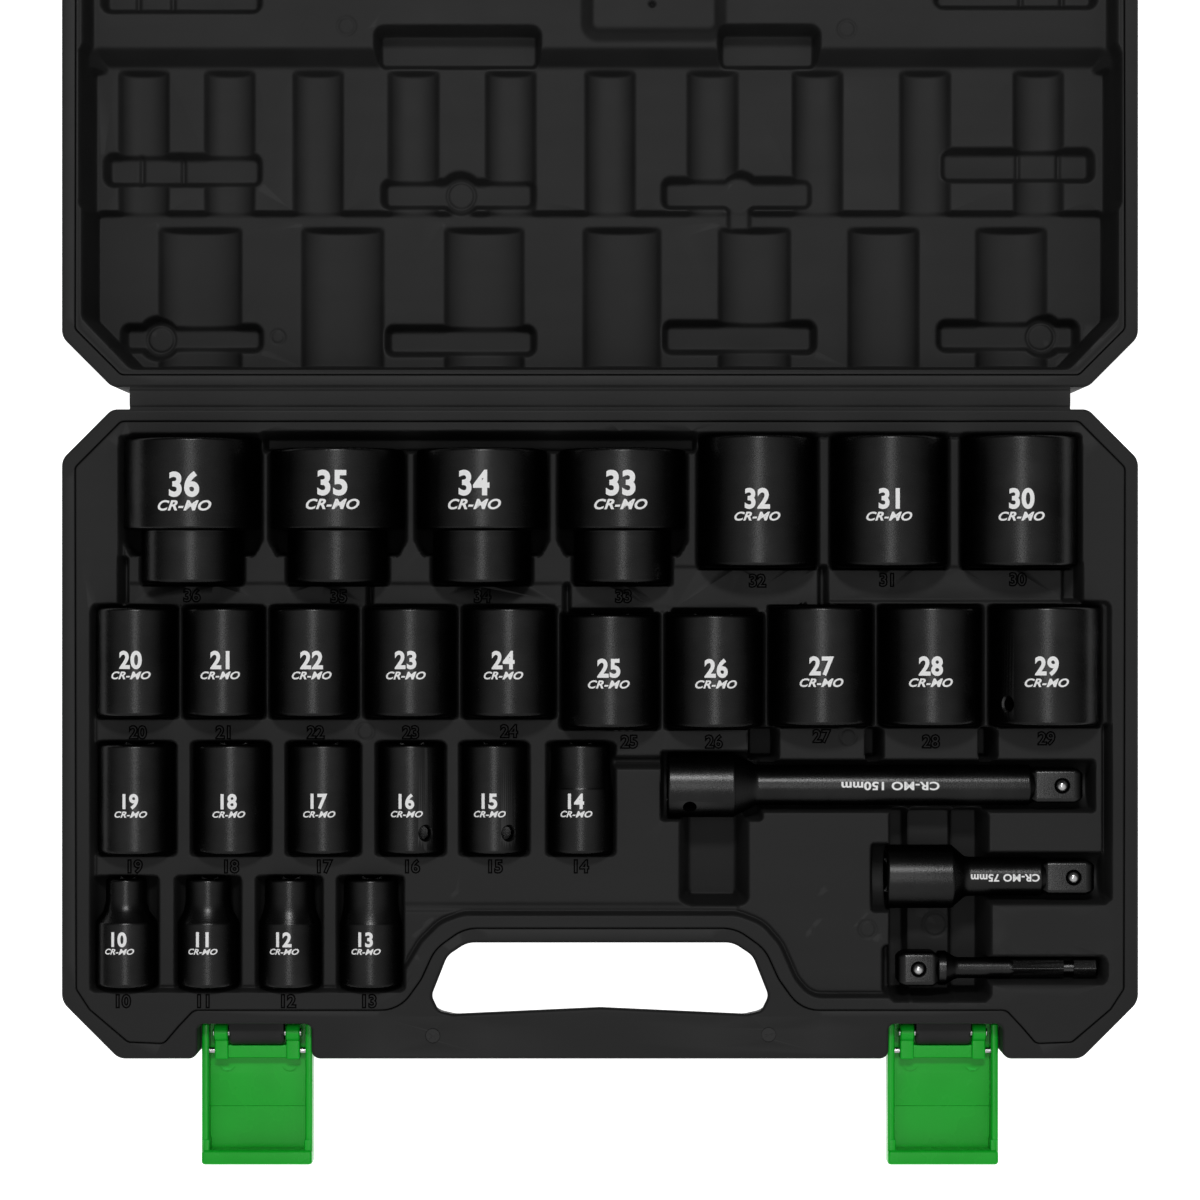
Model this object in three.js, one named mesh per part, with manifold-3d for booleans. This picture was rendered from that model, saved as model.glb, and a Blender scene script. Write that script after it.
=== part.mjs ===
// Half-inch drive impact socket set in a blow-moulded carrying case, lying open at 180 degrees.
//
// Millimetres, +Z up. The origin is the centre of the base half's underside, where it stands.
// +X runs to the right along the hinge, +Y runs from the carrying handle towards the hinge.
// The base half lies at -Y of the hinge and holds the tools. The lid half lies at +Y of it.

import * as THREE from 'three';
import { mergeVertices } from 'three/addons/utils/BufferGeometryUtils.js';
import Module from 'manifold-3d';

const wasm = await Module();
wasm.setup();

// ---------------------------------------------------------------- driving dimensions

const GAP = 0.3; // between pieces that lie against each other
const CUT_OVER = 1; // how far a cutter runs past the face that it opens

const CASE_HALF_WIDTH = 193.2;
const CASE_FRONT_Y = -118.8;
const CASE_BACK_Y = 114.8;
const FRONT_CHAMFER = 20.5;
const BACK_CHAMFER = 18;
const RIM_Z = 41.85; // height of each half, and of its rim
const SHELL_WALL = 2.5;
const LINER_WALL = 2;
const HINGE_Y = 118.8;
const HINGE_Z = 42; // 0.15 above both rims, so the closed rims keep 0.3 apart
const HINGE_HALF_LENGTH = 169.4;

const DECK_Z = 39.2; // ridges between the pockets, a little below the rim

// The moulded line inside the rim, where the inner skin meets the outer shell: its right-hand
// half, from the back to the front.
const SEAM_HALF = [
  [172.5, 110.6], [189.2, 93.9], [188.8, -94], [184, -101.4], [170, -113.3], [157, -113.8],
  [151.6, -107.5], [146.2, -101.8], [72.3, -101.8], [64.2, -90.5], [59.3, -79.8], [48.8, -72.3],
];

// The carrying handle's finger opening: its right-hand half, from the back to the front.
const HANDLE_HALF = [
  [47.9, -77.4], [55, -82.1], [60.7, -96.5], [58, -102], [53, -103.1], [0.01, -100.7],
];

// Latches
const LATCH_X = 124.45;
const NOTCH_HALF_WIDTH = 20.5;
const NOTCH_BACK_Y = -106.6;
const CASE_PIN_Y = -110.9;
const CASE_PIN_Z = 31;
const CASE_PIN_RADIUS = 1.5;
const LINK_PIN = { y: -6.9, z: -2, radius: 1.2 }; // from the case pin, latch swung open
const PIN_HOLE_PLAY = 0.25;
const LUG_RADIUS = 4.2;
const LUG_HALF_WIDTH = 9.8;
const LEVER = {
  halfWidth: 20.1, sideWall: 2.6, nearY: 3.3, farY: -45.9,
  bottomZ: -7.7, plate: 2.2, sideTopZ: 1.5, lip: 4.8, lipTopZ: 2.75,
};
const CATCH = { halfWidth: 16, frontY: -112.5, lowZ: 12.9, highZ: 16.7 };

// Sockets: nominal size, centre x, outer diameter, drive-end diameter, turn of the cross hole.
// Every socket lies along Y with its drive end towards the handle.
const BIG_ROW = {
  back: 103.9, front: 51.7, step: 70.8, axisZ: 39,
  sockets: [[36, -147.1, 49, 36.4, 130]],
};
const STEPPED_ROW = {
  back: 100.2, front: 51.7, step: 70.8, axisZ: 39,
  sockets: [[35, -94.7, 48.4, 36, -145], [34, -42.6, 47, 35.4, 160], [33, 8.1, 45.6, 35, 115]],
};
const BACK_ROW = {
  back: 104.9, front: 57.7, axisZ: 39,
  sockets: [[32, 56.9, 42.6, 42.6, -150], [31, 104.4, 41.8, 41.8, 175], [30, 151.4, 41.6, 41.6, 130]],
};
const MIDDLE_ROW_LEFT = {
  back: 43.4, front: 4, axisZ: 39,
  sockets: [[20, -167.2, 29.2, 29.2, 115], [21, -135.8, 29.3, 29.3, -165], [22, -103.3, 31.4, 31.4, 140],
    [23, -68.4, 33, 33, 178], [24, -32.8, 33.4, 33.4, -130]],
};
const MIDDLE_ROW_CENTRE = {
  back: 40.9, front: 0.1, axisZ: 39,
  sockets: [[25, 3.7, 35.1, 35.1, 155], [26, 41.3, 35.1, 35.1, -120]],
};
const MIDDLE_ROW_RIGHT = {
  back: 43.7, front: 0.9, axisZ: 39,
  sockets: [[27, 79.7, 37.3, 37.3, 165], [28, 119.2, 37, 37, -175], [29, 160.7, 39.8, 39.8, -50]],
};
const FRONT_ROW = {
  back: -5.7, front: -45.5, axisZ: 37,
  sockets: [[19, -167.6, 27.7, 27.7, -160], [18, -133.2, 27.4, 27.4, 170], [17, -99.9, 25.6, 25.6, -140],
    [16, -68.3, 23.6, 23.6, 30], [15, -38.2, 23.6, 23.6, 28], [14, -7, 21.4, 23.4, 165]],
};
const HANDLE_ROW = {
  back: -54.2, front: -93.6, axisZ: 37,
  sockets: [[10, -171.2, 14.6, 22.2, 175], [11, -141.5, 16.4, 22.2, -170], [12, -112.1, 18, 22.4, 160],
    [13, -82.8, 19.6, 22.6, -155]],
};
const SOCKET_ROWS = [BIG_ROW, STEPPED_ROW, BACK_ROW, MIDDLE_ROW_LEFT, MIDDLE_ROW_CENTRE,
  MIDDLE_ROW_RIGHT, FRONT_ROW, HANDLE_ROW];
const SOCKET_SEGMENTS = 16;
const RELIEF_SEGMENTS = 8;
const SOCKET_CHAMFER = 1;
const SLIM_TAPER_FROM_BACK = 15.5; // how far a slim socket's narrowed nose reaches
const BROAD_HEX_DEPTH_SHARE = 0.42;
const DRIVE_SQUARE = 12.9; // female half-inch drive
const DRIVE_DEPTH = 15;
const CROSS_HOLE_RADIUS = 2.5;
const CROSS_HOLE_FROM_END = 8;
const POCKET_PLAY = 0.5; // round a socket in its pocket
const POCKET_END_PLAY = 0.6;

// Extension bars and the bit adapter lie along X with their male square at the right.
const MALE_SQUARE = 12.6;
const MALE_CHAMFER = 1.6;
const BAR_150 = {
  left: 24.3, length: 150, y: -20.9, axisZ: 34, head: 25, headRadius: 11.7, shankRadius: 7.4,
  pocketRadius: 9.2,
};
const BAR_75 = {
  left: 103.4, length: 75, y: -54, axisZ: 34, head: 24.7, headRadius: 11.5, shankRadius: 7.1,
  pocketRadius: 8.6,
};
const BAR_SQUARE_LENGTH = 18.5;
const BAR_NECK = 7;
const ADAPTER = {
  left: 107.2, y: -87, axisZ: 35, square: 15.6, cone: 6.1, coneRadius: 6.2, bodyEnd: 41.2, bodyRadius: 3.8,
  length: 72.8, hexAcrossFlats: 6.35, groove: [60.9, 63.4], grooveRadius: 2.5,
};
const BALL_RADIUS = 2.3;
const BALL_PROUD = 0.8;
const BALL_FROM_END = 7.6;
const BALL_BORE_RADIUS = 2.55;
const BALL_BORE_DEPTH = 9;
const SPRING = { radius: 1.7, wire: 0.35, turns: 3, stepsPerTurn: 7 };

// ---------------------------------------------------------------- solids and geometry

function toSolid(geometry) {
  const bare = geometry.clone();
  bare.deleteAttribute('normal');
  bare.deleteAttribute('uv');
  const merged = mergeVertices(bare, 1e-4);
  const index = merged.index.array;
  const triVerts = [];
  for (let i = 0; i < index.length; i += 3) {
    const [a, b, c] = [index[i], index[i + 1], index[i + 2]];
    if (a !== b && b !== c && c !== a) triVerts.push(a, b, c);
  }
  const vertProperties = new Float32Array(merged.attributes.position.array);
  const mesh = new wasm.Mesh({ numProp: 3, vertProperties, triVerts: new Uint32Array(triVerts) });
  return new wasm.Manifold(mesh);
}

function toGeometry(solid) {
  const mesh = solid.getMesh();
  const geometry = new THREE.BufferGeometry();
  geometry.setAttribute('position', new THREE.BufferAttribute(new Float32Array(mesh.vertProperties), 3));
  geometry.setIndex(new THREE.BufferAttribute(new Uint32Array(mesh.triVerts), 1));
  geometry.computeVertexNormals();
  return geometry;
}

function union(solids) {
  return solids.reduce((sum, solid) => sum.add(solid));
}

function box(x0, x1, y0, y1, z0, z1) {
  const geometry = new THREE.BoxGeometry(x1 - x0, y1 - y0, z1 - z0);
  geometry.translate((x0 + x1) / 2, (y0 + y1) / 2, (z0 + z1) / 2);
  return toSolid(geometry);
}

function shapeOf(points) {
  return new THREE.Shape(points.map(([x, y]) => new THREE.Vector2(x, y)));
}

// A prism of an outline drawn in XY, between two heights.
function prism(points, z0, z1) {
  const geometry = new THREE.ExtrudeGeometry(shapeOf(points), { depth: z1 - z0, bevelEnabled: false });
  geometry.translate(0, 0, z0);
  return toSolid(geometry);
}

// A prism along Y of an outline drawn in XZ.
function prismAlongY(points, y0, y1) {
  const geometry = new THREE.ExtrudeGeometry(shapeOf(points), { depth: y1 - y0, bevelEnabled: false });
  geometry.rotateX(Math.PI / 2);
  geometry.translate(0, y1, 0);
  return toSolid(geometry);
}

// A prism along X of an outline drawn in YZ.
function prismAlongX(points, x0, x1) {
  const geometry = new THREE.ExtrudeGeometry(shapeOf(points), { depth: x1 - x0, bevelEnabled: false });
  const basis = new THREE.Matrix4();
  basis.makeBasis(new THREE.Vector3(0, 1, 0), new THREE.Vector3(0, 0, 1), new THREE.Vector3(1, 0, 0));
  geometry.applyMatrix4(basis);
  geometry.translate(x0, 0, 0);
  return toSolid(geometry);
}

// A round bar along X, centred on (y, z).
function barAlongX(radius, x0, x1, y, z, segments = 12) {
  const geometry = new THREE.CylinderGeometry(radius, radius, x1 - x0, segments);
  geometry.rotateZ(Math.PI / 2);
  geometry.translate((x0 + x1) / 2, y, z);
  return toSolid(geometry);
}

// Moves every edge of a closed outline by a distance: outwards if positive.
function offsetOutline(points, distance) {
  const area = points.reduce((sum, [x, y], i) => {
    const [nextX, nextY] = points[(i + 1) % points.length];
    return sum + x * nextY - nextX * y;
  }, 0);
  const side = Math.sign(area) * distance;
  return points.map(([x, y], i) => {
    const [px, py] = points[(i + points.length - 1) % points.length];
    const [nx, ny] = points[(i + 1) % points.length];
    const before = new THREE.Vector2(y - py, px - x).normalize();
    const after = new THREE.Vector2(ny - y, x - nx).normalize();
    const miter = before.clone().add(after).normalize();
    const reach = side / miter.dot(after);
    return [x + miter.x * reach, y + miter.y * reach];
  });
}

// Closes a right-hand half outline with its mirror image.
function mirrored(half) {
  return [...half, ...half.map(([x, y]) => [-x, y]).reverse()];
}

function lathe(profile, segments) {
  return toSolid(new THREE.LatheGeometry(profile.map(([r, y]) => new THREE.Vector2(r, y)), segments));
}

// ---------------------------------------------------------------- materials and placing

function material(color, roughness, metalness) {
  return new THREE.MeshStandardMaterial({ color, roughness, metalness });
}

const casePlastic = () => material(0x232323, 0.55, 0);
const latchPlastic = () => material(0x189b2a, 0.35, 0);
const impactSteel = () => material(0x161616, 0.4, 0.7);
const brightSteel = () => material(0xb8b8b8, 0.25, 1);

const group = new THREE.Group();

function place(name, solid, finish, position = [0, 0, 0], turnZ = 0) {
  const mesh = new THREE.Mesh(toGeometry(solid), finish);
  mesh.name = name;
  mesh.position.set(...position);
  mesh.rotation.z = turnZ;
  group.add(mesh);
}

// ---------------------------------------------------------------- the two shells

// Outline of either half, with its two latch notches at the front.
function caseOutline() {
  const notch = (x, side) => [
    [x + side * NOTCH_HALF_WIDTH, CASE_FRONT_Y],
    [x + side * NOTCH_HALF_WIDTH, NOTCH_BACK_Y],
    [x - side * NOTCH_HALF_WIDTH, NOTCH_BACK_Y],
    [x - side * NOTCH_HALF_WIDTH, CASE_FRONT_Y],
  ];
  const half = [
    [CASE_HALF_WIDTH - BACK_CHAMFER, CASE_BACK_Y],
    [CASE_HALF_WIDTH, CASE_BACK_Y - BACK_CHAMFER],
    [CASE_HALF_WIDTH, CASE_FRONT_Y + FRONT_CHAMFER],
    [CASE_HALF_WIDTH - FRONT_CHAMFER, CASE_FRONT_Y],
    ...notch(LATCH_X, 1),
  ];
  return mirrored(half);
}

const seam = mirrored(SEAM_HALF);
const handleOpening = mirrored(HANDLE_HALF);

// One half's outer skin: floor, walls, an inward rim as far as the seam, and a finger opening
// with its own wall, so the handle is a hollow grip.
function halfShell() {
  const outline = caseOutline();
  const walls = prism(outline, 0, RIM_Z)
    .subtract(prism(offsetOutline(outline, -SHELL_WALL), SHELL_WALL, RIM_Z - SHELL_WALL))
    .subtract(prism(seam, RIM_Z - SHELL_WALL - CUT_OVER, RIM_Z + CUT_OVER));
  const gripWall = prism(offsetOutline(handleOpening, SHELL_WALL), CUT_OVER, RIM_Z - CUT_OVER);
  return walls.add(gripWall).subtract(prism(handleOpening, -CUT_OVER, RIM_Z + CUT_OVER));
}

// The base's nose that carries a latch's pin: round in front, joined to the notch's back wall.
function latchLug(x) {
  const nose = barAlongX(LUG_RADIUS, x - LUG_HALF_WIDTH, x + LUG_HALF_WIDTH, CASE_PIN_Y, CASE_PIN_Z, 16);
  const web = box(x - LUG_HALF_WIDTH, x + LUG_HALF_WIDTH, CASE_PIN_Y, NOTCH_BACK_Y + CUT_OVER,
    CASE_PIN_Z - LUG_RADIUS, CASE_PIN_Z + LUG_RADIUS);
  const hole = barAlongX(CASE_PIN_RADIUS + PIN_HOLE_PLAY, x - NOTCH_HALF_WIDTH, x + NOTCH_HALF_WIDTH,
    CASE_PIN_Y, CASE_PIN_Z);
  return { lug: nose.add(web), hole };
}

function baseShell() {
  return [-LATCH_X, LATCH_X].reduce((shell, x) => {
    const { lug, hole } = latchLug(x);
    return shell.add(lug).subtract(hole);
  }, halfShell());
}

// The lid's shell has a ridge in each notch for the latch's lip to hook behind.
function lidShell() {
  const catches = [-LATCH_X, LATCH_X].map((x) => box(x - CATCH.halfWidth, x + CATCH.halfWidth,
    CATCH.frontY, NOTCH_BACK_Y + CUT_OVER, CATCH.lowZ, CATCH.highZ));
  return union([halfShell(), ...catches]);
}

function hingeWeb() {
  const [near, far] = [CASE_BACK_Y + GAP, 2 * HINGE_Y - CASE_BACK_Y - GAP];
  const profile = [
    [near, RIM_Z - 1.4], [far, RIM_Z - 1.4], [far, RIM_Z - 0.5],
    [far - 2, RIM_Z], [near + 2, RIM_Z], [near, RIM_Z - 0.5],
  ];
  return prismAlongX(profile, -HINGE_HALF_LENGTH, HINGE_HALF_LENGTH);
}

// ---------------------------------------------------------------- the base's tray

// The sunk deck that the pockets are set in, from the back right corner, clockwise.
const DECK_OUTLINE = [
  [169, 105.7], [172.9, 101.8], [172.9, 45.4], [183.2, 45.4], [183.2, -92.7], [138.2, -92.7], [134, -96.7],
  [76, -96.7], [70.5, -90.5], [65, -78], [58.5, -70.5], [49.5, -67], [-49.5, -67], [-57.5, -70],
  [-64.5, -77], [-75, -94.6], [-183.2, -94.6], [-183.2, 43.7], [-173, 43.7], [-173, 101.8],
  [-169, 105.7],
];

const TROUGH_ARC_STEPS = 8; // half of SOCKET_SEGMENTS, so a pocket's facets face its socket's

// The cross-section of a round-bottomed trough: straight sides down to its axis, then an arc.
function troughSection(centre, radius, axisZ, topZ) {
  const section = [[centre + radius, topZ]];
  for (let i = 0; i <= TROUGH_ARC_STEPS; i += 1) {
    const angle = -Math.PI * i / TROUGH_ARC_STEPS;
    section.push([centre + radius * Math.cos(angle), axisZ + radius * Math.sin(angle)]);
  }
  section.push([centre - radius, topZ]);
  return section;
}

// Each hollow is made twice: as a cutter, and grown by the skin's wall to make the skin round it.
function troughAlongY(x, radius, y0, y1, axisZ) {
  return (grow, topZ) => prismAlongY(troughSection(x, radius + grow, axisZ, topZ), y0 - grow, y1 + grow);
}

function troughAlongX(y, radius, x0, x1, axisZ) {
  return (grow, topZ) => prismAlongX(troughSection(y, radius + grow, axisZ, topZ), x0 - grow, x1 + grow);
}

function well(x0, x1, y0, y1, floorZ) {
  return (grow, topZ) => box(x0 - grow, x1 + grow, y0 - grow, y1 + grow, floorZ - grow, topZ);
}

function sunkOutline(points, floorZ) {
  return (grow, topZ) => prism(offsetOutline(points, grow), floorZ - grow, topZ);
}

// A skin of even wall over a set of hollows, hanging from a plate.
function skinOver(hollows, plate, topZ) {
  const skin = union([plate, ...hollows.map((hollow) => hollow(LINER_WALL, topZ))]);
  return hollows.reduce((rest, hollow) => rest.subtract(hollow(0, topZ + CUT_OVER)), skin);
}

function socketPockets() {
  return SOCKET_ROWS.flatMap((row) => row.sockets.flatMap(([, x, diameter, driveDiameter]) => {
    const wide = Math.max(diameter, driveDiameter) / 2 + POCKET_PLAY;
    const [front, back] = [row.front - POCKET_END_PLAY, row.back + POCKET_END_PLAY];
    if (!row.step) return [troughAlongY(x, wide, front, back, row.axisZ)];
    const drive = driveDiameter / 2 + POCKET_PLAY;
    return [
      troughAlongY(x, wide, row.step - 7, back, row.axisZ),
      troughAlongY(x, drive, front, row.step, row.axisZ),
    ];
  }));
}

function barPocket(bar) {
  const right = bar.left + bar.length;
  return [
    troughAlongX(bar.y, bar.headRadius + POCKET_PLAY, bar.left - 2, bar.left + bar.head + 9, bar.axisZ),
    troughAlongX(bar.y, bar.pocketRadius, bar.left, right + 4, bar.axisZ),
  ];
}

function trayHollows() {
  const adapterRight = ADAPTER.left + ADAPTER.length;
  return [
    sunkOutline(DECK_OUTLINE, DECK_Z),
    ...socketPockets(),
    ...barPocket(BAR_150),
    ...barPocket(BAR_75),
    well(ADAPTER.left - 5, ADAPTER.left + 26, ADAPTER.y - 8.8, ADAPTER.y + 8.3, 26),
    well(ADAPTER.left, adapterRight + 1.5, ADAPTER.y - 4.2, ADAPTER.y + 4.2, 29),
    well(-122, 35, 99.5, 105.7, 27), // channel behind the stepped sockets
    well(29.2, 53.3, -64, -30, 20), // finger slot beside the long bar
    well(105.5, 139, -97.6, -28, 24), // long finger trough across the bars
    well(-173, -170.5, 44.5, 61.6, 30),
    well(167, 172.9, 45.6, 60.5, 30),
    well(53.8, 64.1, -12, -0.4, 28),
    well(96.1, 101.9, -12, 0, 28),
    well(137, 142.9, -12, 0, 28),
  ];
}

// The tray is one moulding. It is drawn in eight regions with a hair gap between them, each with
// its own pockets: left, right, front and back limits.
const ROW_LINES = { back: 48, middle: -2.85, front: -50, bars: 14 };
const COLUMN_LINES = { backLeft: -68, backRight: 33.5, front: -83.6 };
const TRAY_REGIONS = {
  back_left: [-CASE_HALF_WIDTH, COLUMN_LINES.backLeft, ROW_LINES.back, CASE_BACK_Y],
  back_centre: [COLUMN_LINES.backLeft, COLUMN_LINES.backRight, ROW_LINES.back, CASE_BACK_Y],
  back_right: [COLUMN_LINES.backRight, CASE_HALF_WIDTH, ROW_LINES.back, CASE_BACK_Y],
  middle_row: [-CASE_HALF_WIDTH, CASE_HALF_WIDTH, ROW_LINES.middle, ROW_LINES.back],
  front_left: [-CASE_HALF_WIDTH, COLUMN_LINES.front, ROW_LINES.front, ROW_LINES.middle],
  front_centre: [COLUMN_LINES.front, ROW_LINES.bars, ROW_LINES.front, ROW_LINES.middle],
  handle_row: [-CASE_HALF_WIDTH, ROW_LINES.bars, CASE_FRONT_Y, ROW_LINES.front],
  bars: [ROW_LINES.bars, CASE_HALF_WIDTH, CASE_FRONT_Y, ROW_LINES.middle],
};

function placeTray() {
  const plate = prism(offsetOutline(seam, -GAP), RIM_Z - LINER_WALL, RIM_Z);
  const tray = skinOver(trayHollows(), plate, RIM_Z);
  for (const [name, [x0, x1, y0, y1]] of Object.entries(TRAY_REGIONS)) {
    const region = box(x0 + GAP / 2, x1 - GAP / 2, y0 + GAP / 2, y1 - GAP / 2, 0, RIM_Z + CUT_OVER);
    place(`base_tray_${name}`, tray.intersect(region), casePlastic());
  }
}

// ---------------------------------------------------------------- the lid's liner

// The liner is drawn where it lies in the open lid. It has a shallow landing over the front
// rows and two deeper terraces over the sockets, each terrace grooved above its sockets.
const LANDING_Z = 29.9;
const TERRACE_Z = 19.9;
const LOW_TERRACE_Z = 14.9;
const LID_FOLD_Y = 2 * HINGE_Y; // a point at y in the closed lid lies at LID_FOLD_Y - y when open
const LINER_HALF_WIDTH = 185.4;
const GROOVE_ARC_STEPS = 4;

const LOW_TERRACE_OUTLINE = [
  [LINER_HALF_WIDTH, 188.5], [LINER_HALF_WIDTH, 148], [169, 130.8],
  [-169, 130.8], [-LINER_HALF_WIDTH, 148], [-LINER_HALF_WIDTH, 188.5],
];
const LANDING_HALF = [
  [LINER_HALF_WIDTH, 240], [LINER_HALF_WIDTH, 330.5], [177, 335.5], [76, 335.5], [69.5, 329],
  [62, 313.5], [50.5, 306.8],
];

function grooveSection(x, chord, depth, floorZ) {
  const radius = (chord * chord / 4 + depth * depth) / (2 * depth);
  const halfAngle = Math.asin(Math.min(1, chord / 2 / radius));
  const section = [];
  for (let i = 0; i <= GROOVE_ARC_STEPS; i += 1) {
    const angle = halfAngle * (1 - 2 * i / GROOVE_ARC_STEPS);
    section.push([x + radius * Math.sin(angle), floorZ + radius - depth - radius * Math.cos(angle)]);
  }
  return section;
}

function groove(x, chord, depth, y0, y1, floorZ) {
  const section = grooveSection(x, chord, depth, floorZ);
  return (grow, topZ) => {
    const [first, last] = [section[0], section[section.length - 1]];
    const closed = [...section, [last[0], topZ], [first[0], topZ]];
    const outline = offsetOutline(closed, grow).map(([px, pz]) => [px, Math.min(pz, topZ)]);
    return prismAlongY(outline, y0 - grow, y1 + grow);
  };
}

function linerHollows() {
  const backSockets = [...BIG_ROW.sockets, ...STEPPED_ROW.sockets, ...BACK_ROW.sockets];
  const middleRows = [MIDDLE_ROW_LEFT, MIDDLE_ROW_CENTRE, MIDDLE_ROW_RIGHT];
  const middleSockets = middleRows.flatMap((row) => row.sockets);
  const shallowSlots = [
    [-181.5, -124.5, 198, 209.5, TERRACE_Z], [-79.8, -24, 189.6, 200.2, TERRACE_Z],
    [23, 78, 189.6, 200.8, TERRACE_Z], [125.2, 180.8, 199.6, 211.4, TERRACE_Z],
    [-176, -124.5, 137.6, 147.3, LOW_TERRACE_Z], [-78.8, -24, 136.2, 146.9, LOW_TERRACE_Z],
    [23.4, 79.2, 137, 148.6, LOW_TERRACE_Z], [124.4, 176, 137.8, 148.8, LOW_TERRACE_Z],
    [-181, -123.5, 260, 280, LANDING_Z], [-81.6, -22, 238, 254.5, LANDING_Z],
    [43.4, 79.6, 239, 254.8, LANDING_Z], [121.8, 180.4, 261.5, 280, LANDING_Z],
  ];
  return [
    sunkOutline(mirrored(LANDING_HALF), LANDING_Z),
    well(-LINER_HALF_WIDTH, LINER_HALF_WIDTH, 186.5, 242.5, TERRACE_Z),
    sunkOutline(LOW_TERRACE_OUTLINE, LOW_TERRACE_Z),
    ...middleSockets.map(([, x]) => groove(x, 17.6, 2.8, 186.5, 240, TERRACE_Z)),
    ...backSockets.map(([, x, diameter]) => groove(x, 0.61 * diameter, 5, 132.5, 183, LOW_TERRACE_Z)),
    ...shallowSlots.map(([x0, x1, y0, y1, levelZ]) => well(x0, x1, y0, y1, levelZ - 4)),
  ];
}

function lidLiner() {
  const lidSeam = offsetOutline(seam, -GAP).map(([x, y]) => [x, LID_FOLD_Y - y]);
  const plate = prism(lidSeam, RIM_Z - LINER_WALL, RIM_Z);
  return skinOver(linerHollows(), plate, RIM_Z);
}

// ---------------------------------------------------------------- latches, drawn about the case pin

function latchLink() {
  const [armIn, armOut] = [10.5, 15.5];
  const arm = (side) => {
    const [x0, x1] = side > 0 ? [armIn, armOut] : [-armOut, -armIn];
    return barAlongX(3.2, x0, x1, 0, 0, 16).add(box(x0, x1, -9.2, 0, -3.2, 0.4));
  };
  const crossbar = box(-armOut, armOut, -9.2, -4.6, -4.4, 0.4);
  const overhang = armOut + CUT_OVER;
  const hole = (radius, y, z) => barAlongX(radius + PIN_HOLE_PLAY, -overhang, overhang, y, z);
  return union([arm(1), arm(-1), crossbar])
    .subtract(hole(CASE_PIN_RADIUS, 0, 0))
    .subtract(hole(LINK_PIN.radius, LINK_PIN.y, LINK_PIN.z));
}

function latchLever() {
  const { halfWidth, sideWall, nearY, farY, bottomZ, plate, sideTopZ, lip, lipTopZ } = LEVER;
  const faceplate = box(-halfWidth, halfWidth, farY, nearY, bottomZ, bottomZ + plate);
  const sides = [-1, 1].map((side) => {
    const outer = side * halfWidth;
    const inner = side * (halfWidth - sideWall);
    return box(Math.min(outer, inner), Math.max(outer, inner), farY, nearY, bottomZ, sideTopZ);
  });
  const hookLip = box(-halfWidth, halfWidth, farY, farY + lip, bottomZ, lipTopZ);
  const pinHole = barAlongX(LINK_PIN.radius + PIN_HOLE_PLAY, -halfWidth - CUT_OVER, halfWidth + CUT_OVER,
    LINK_PIN.y, LINK_PIN.z);
  return union([faceplate, ...sides, hookLip]).subtract(pinHole);
}

function placeLatch(side, x) {
  const at = [x, CASE_PIN_Y, CASE_PIN_Z];
  place(`latch_${side}_link`, latchLink(), latchPlastic(), at);
  place(`latch_${side}_lever`, latchLever(), latchPlastic(), at);
  place(`latch_${side}_case_pin`, barAlongX(CASE_PIN_RADIUS, -16.2, 16.2, 0, 0), brightSteel(), at);
  const linkPin = barAlongX(LINK_PIN.radius, -19.3, 19.3, LINK_PIN.y, LINK_PIN.z);
  place(`latch_${side}_link_pin`, linkPin, brightSteel(), at);
}

// ---------------------------------------------------------------- sockets

// A socket stands on its drive end at y = 0, open hexagon at y = length.
function socketSolid(size, diameter, driveDiameter, length, stepAt) {
  const nose = diameter / 2;
  const drive = driveDiameter / 2;
  const slim = nose < drive;
  const neck = slim ? length - SLIM_TAPER_FROM_BACK : stepAt ?? length / 2;
  const shoulder = slim ? length - SOCKET_CHAMFER : neck + 1.2;
  const profile = [
    [0, 0], [drive - SOCKET_CHAMFER, 0], [drive, SOCKET_CHAMFER],
    [drive, neck], [nose, shoulder], [nose, length - SOCKET_CHAMFER], [nose - SOCKET_CHAMFER, length],
    [0, length],
  ].filter(([r, y], i, all) => i === 0 || r !== all[i - 1][0] || y !== all[i - 1][1]);
  const straight = nose === drive ? profile.filter(([, y]) => y !== neck && y !== shoulder) : profile;
  const hexRadius = size / Math.sqrt(3);
  const hexDepth = Math.max(12, BROAD_HEX_DEPTH_SHARE * length);
  const hexagon = new THREE.CylinderGeometry(hexRadius, hexRadius, hexDepth + CUT_OVER, 6);
  hexagon.translate(0, length - hexDepth + (hexDepth + CUT_OVER) / 2, 0);
  const reliefRadius = 0.46 * size;
  const reliefLength = length - DRIVE_DEPTH - 2;
  const relief = new THREE.CylinderGeometry(reliefRadius, reliefRadius, reliefLength, RELIEF_SEGMENTS);
  relief.translate(0, DRIVE_DEPTH - 1 + reliefLength / 2, 0);
  const half = DRIVE_SQUARE / 2;
  return lathe(straight, SOCKET_SEGMENTS)
    .subtract(toSolid(hexagon))
    .subtract(toSolid(relief))
    .subtract(box(-half, half, -CUT_OVER, DRIVE_DEPTH, -half, half));
}

// The retaining pin's hole through one wall of the drive end, turned about the socket's axis.
function crossHole(reach, turnDegrees) {
  const geometry = new THREE.CylinderGeometry(CROSS_HOLE_RADIUS, CROSS_HOLE_RADIUS, reach, 6);
  geometry.rotateX(Math.PI / 2);
  geometry.translate(0, CROSS_HOLE_FROM_END, reach / 2);
  geometry.rotateY(THREE.MathUtils.degToRad(turnDegrees));
  return toSolid(geometry);
}

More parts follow.
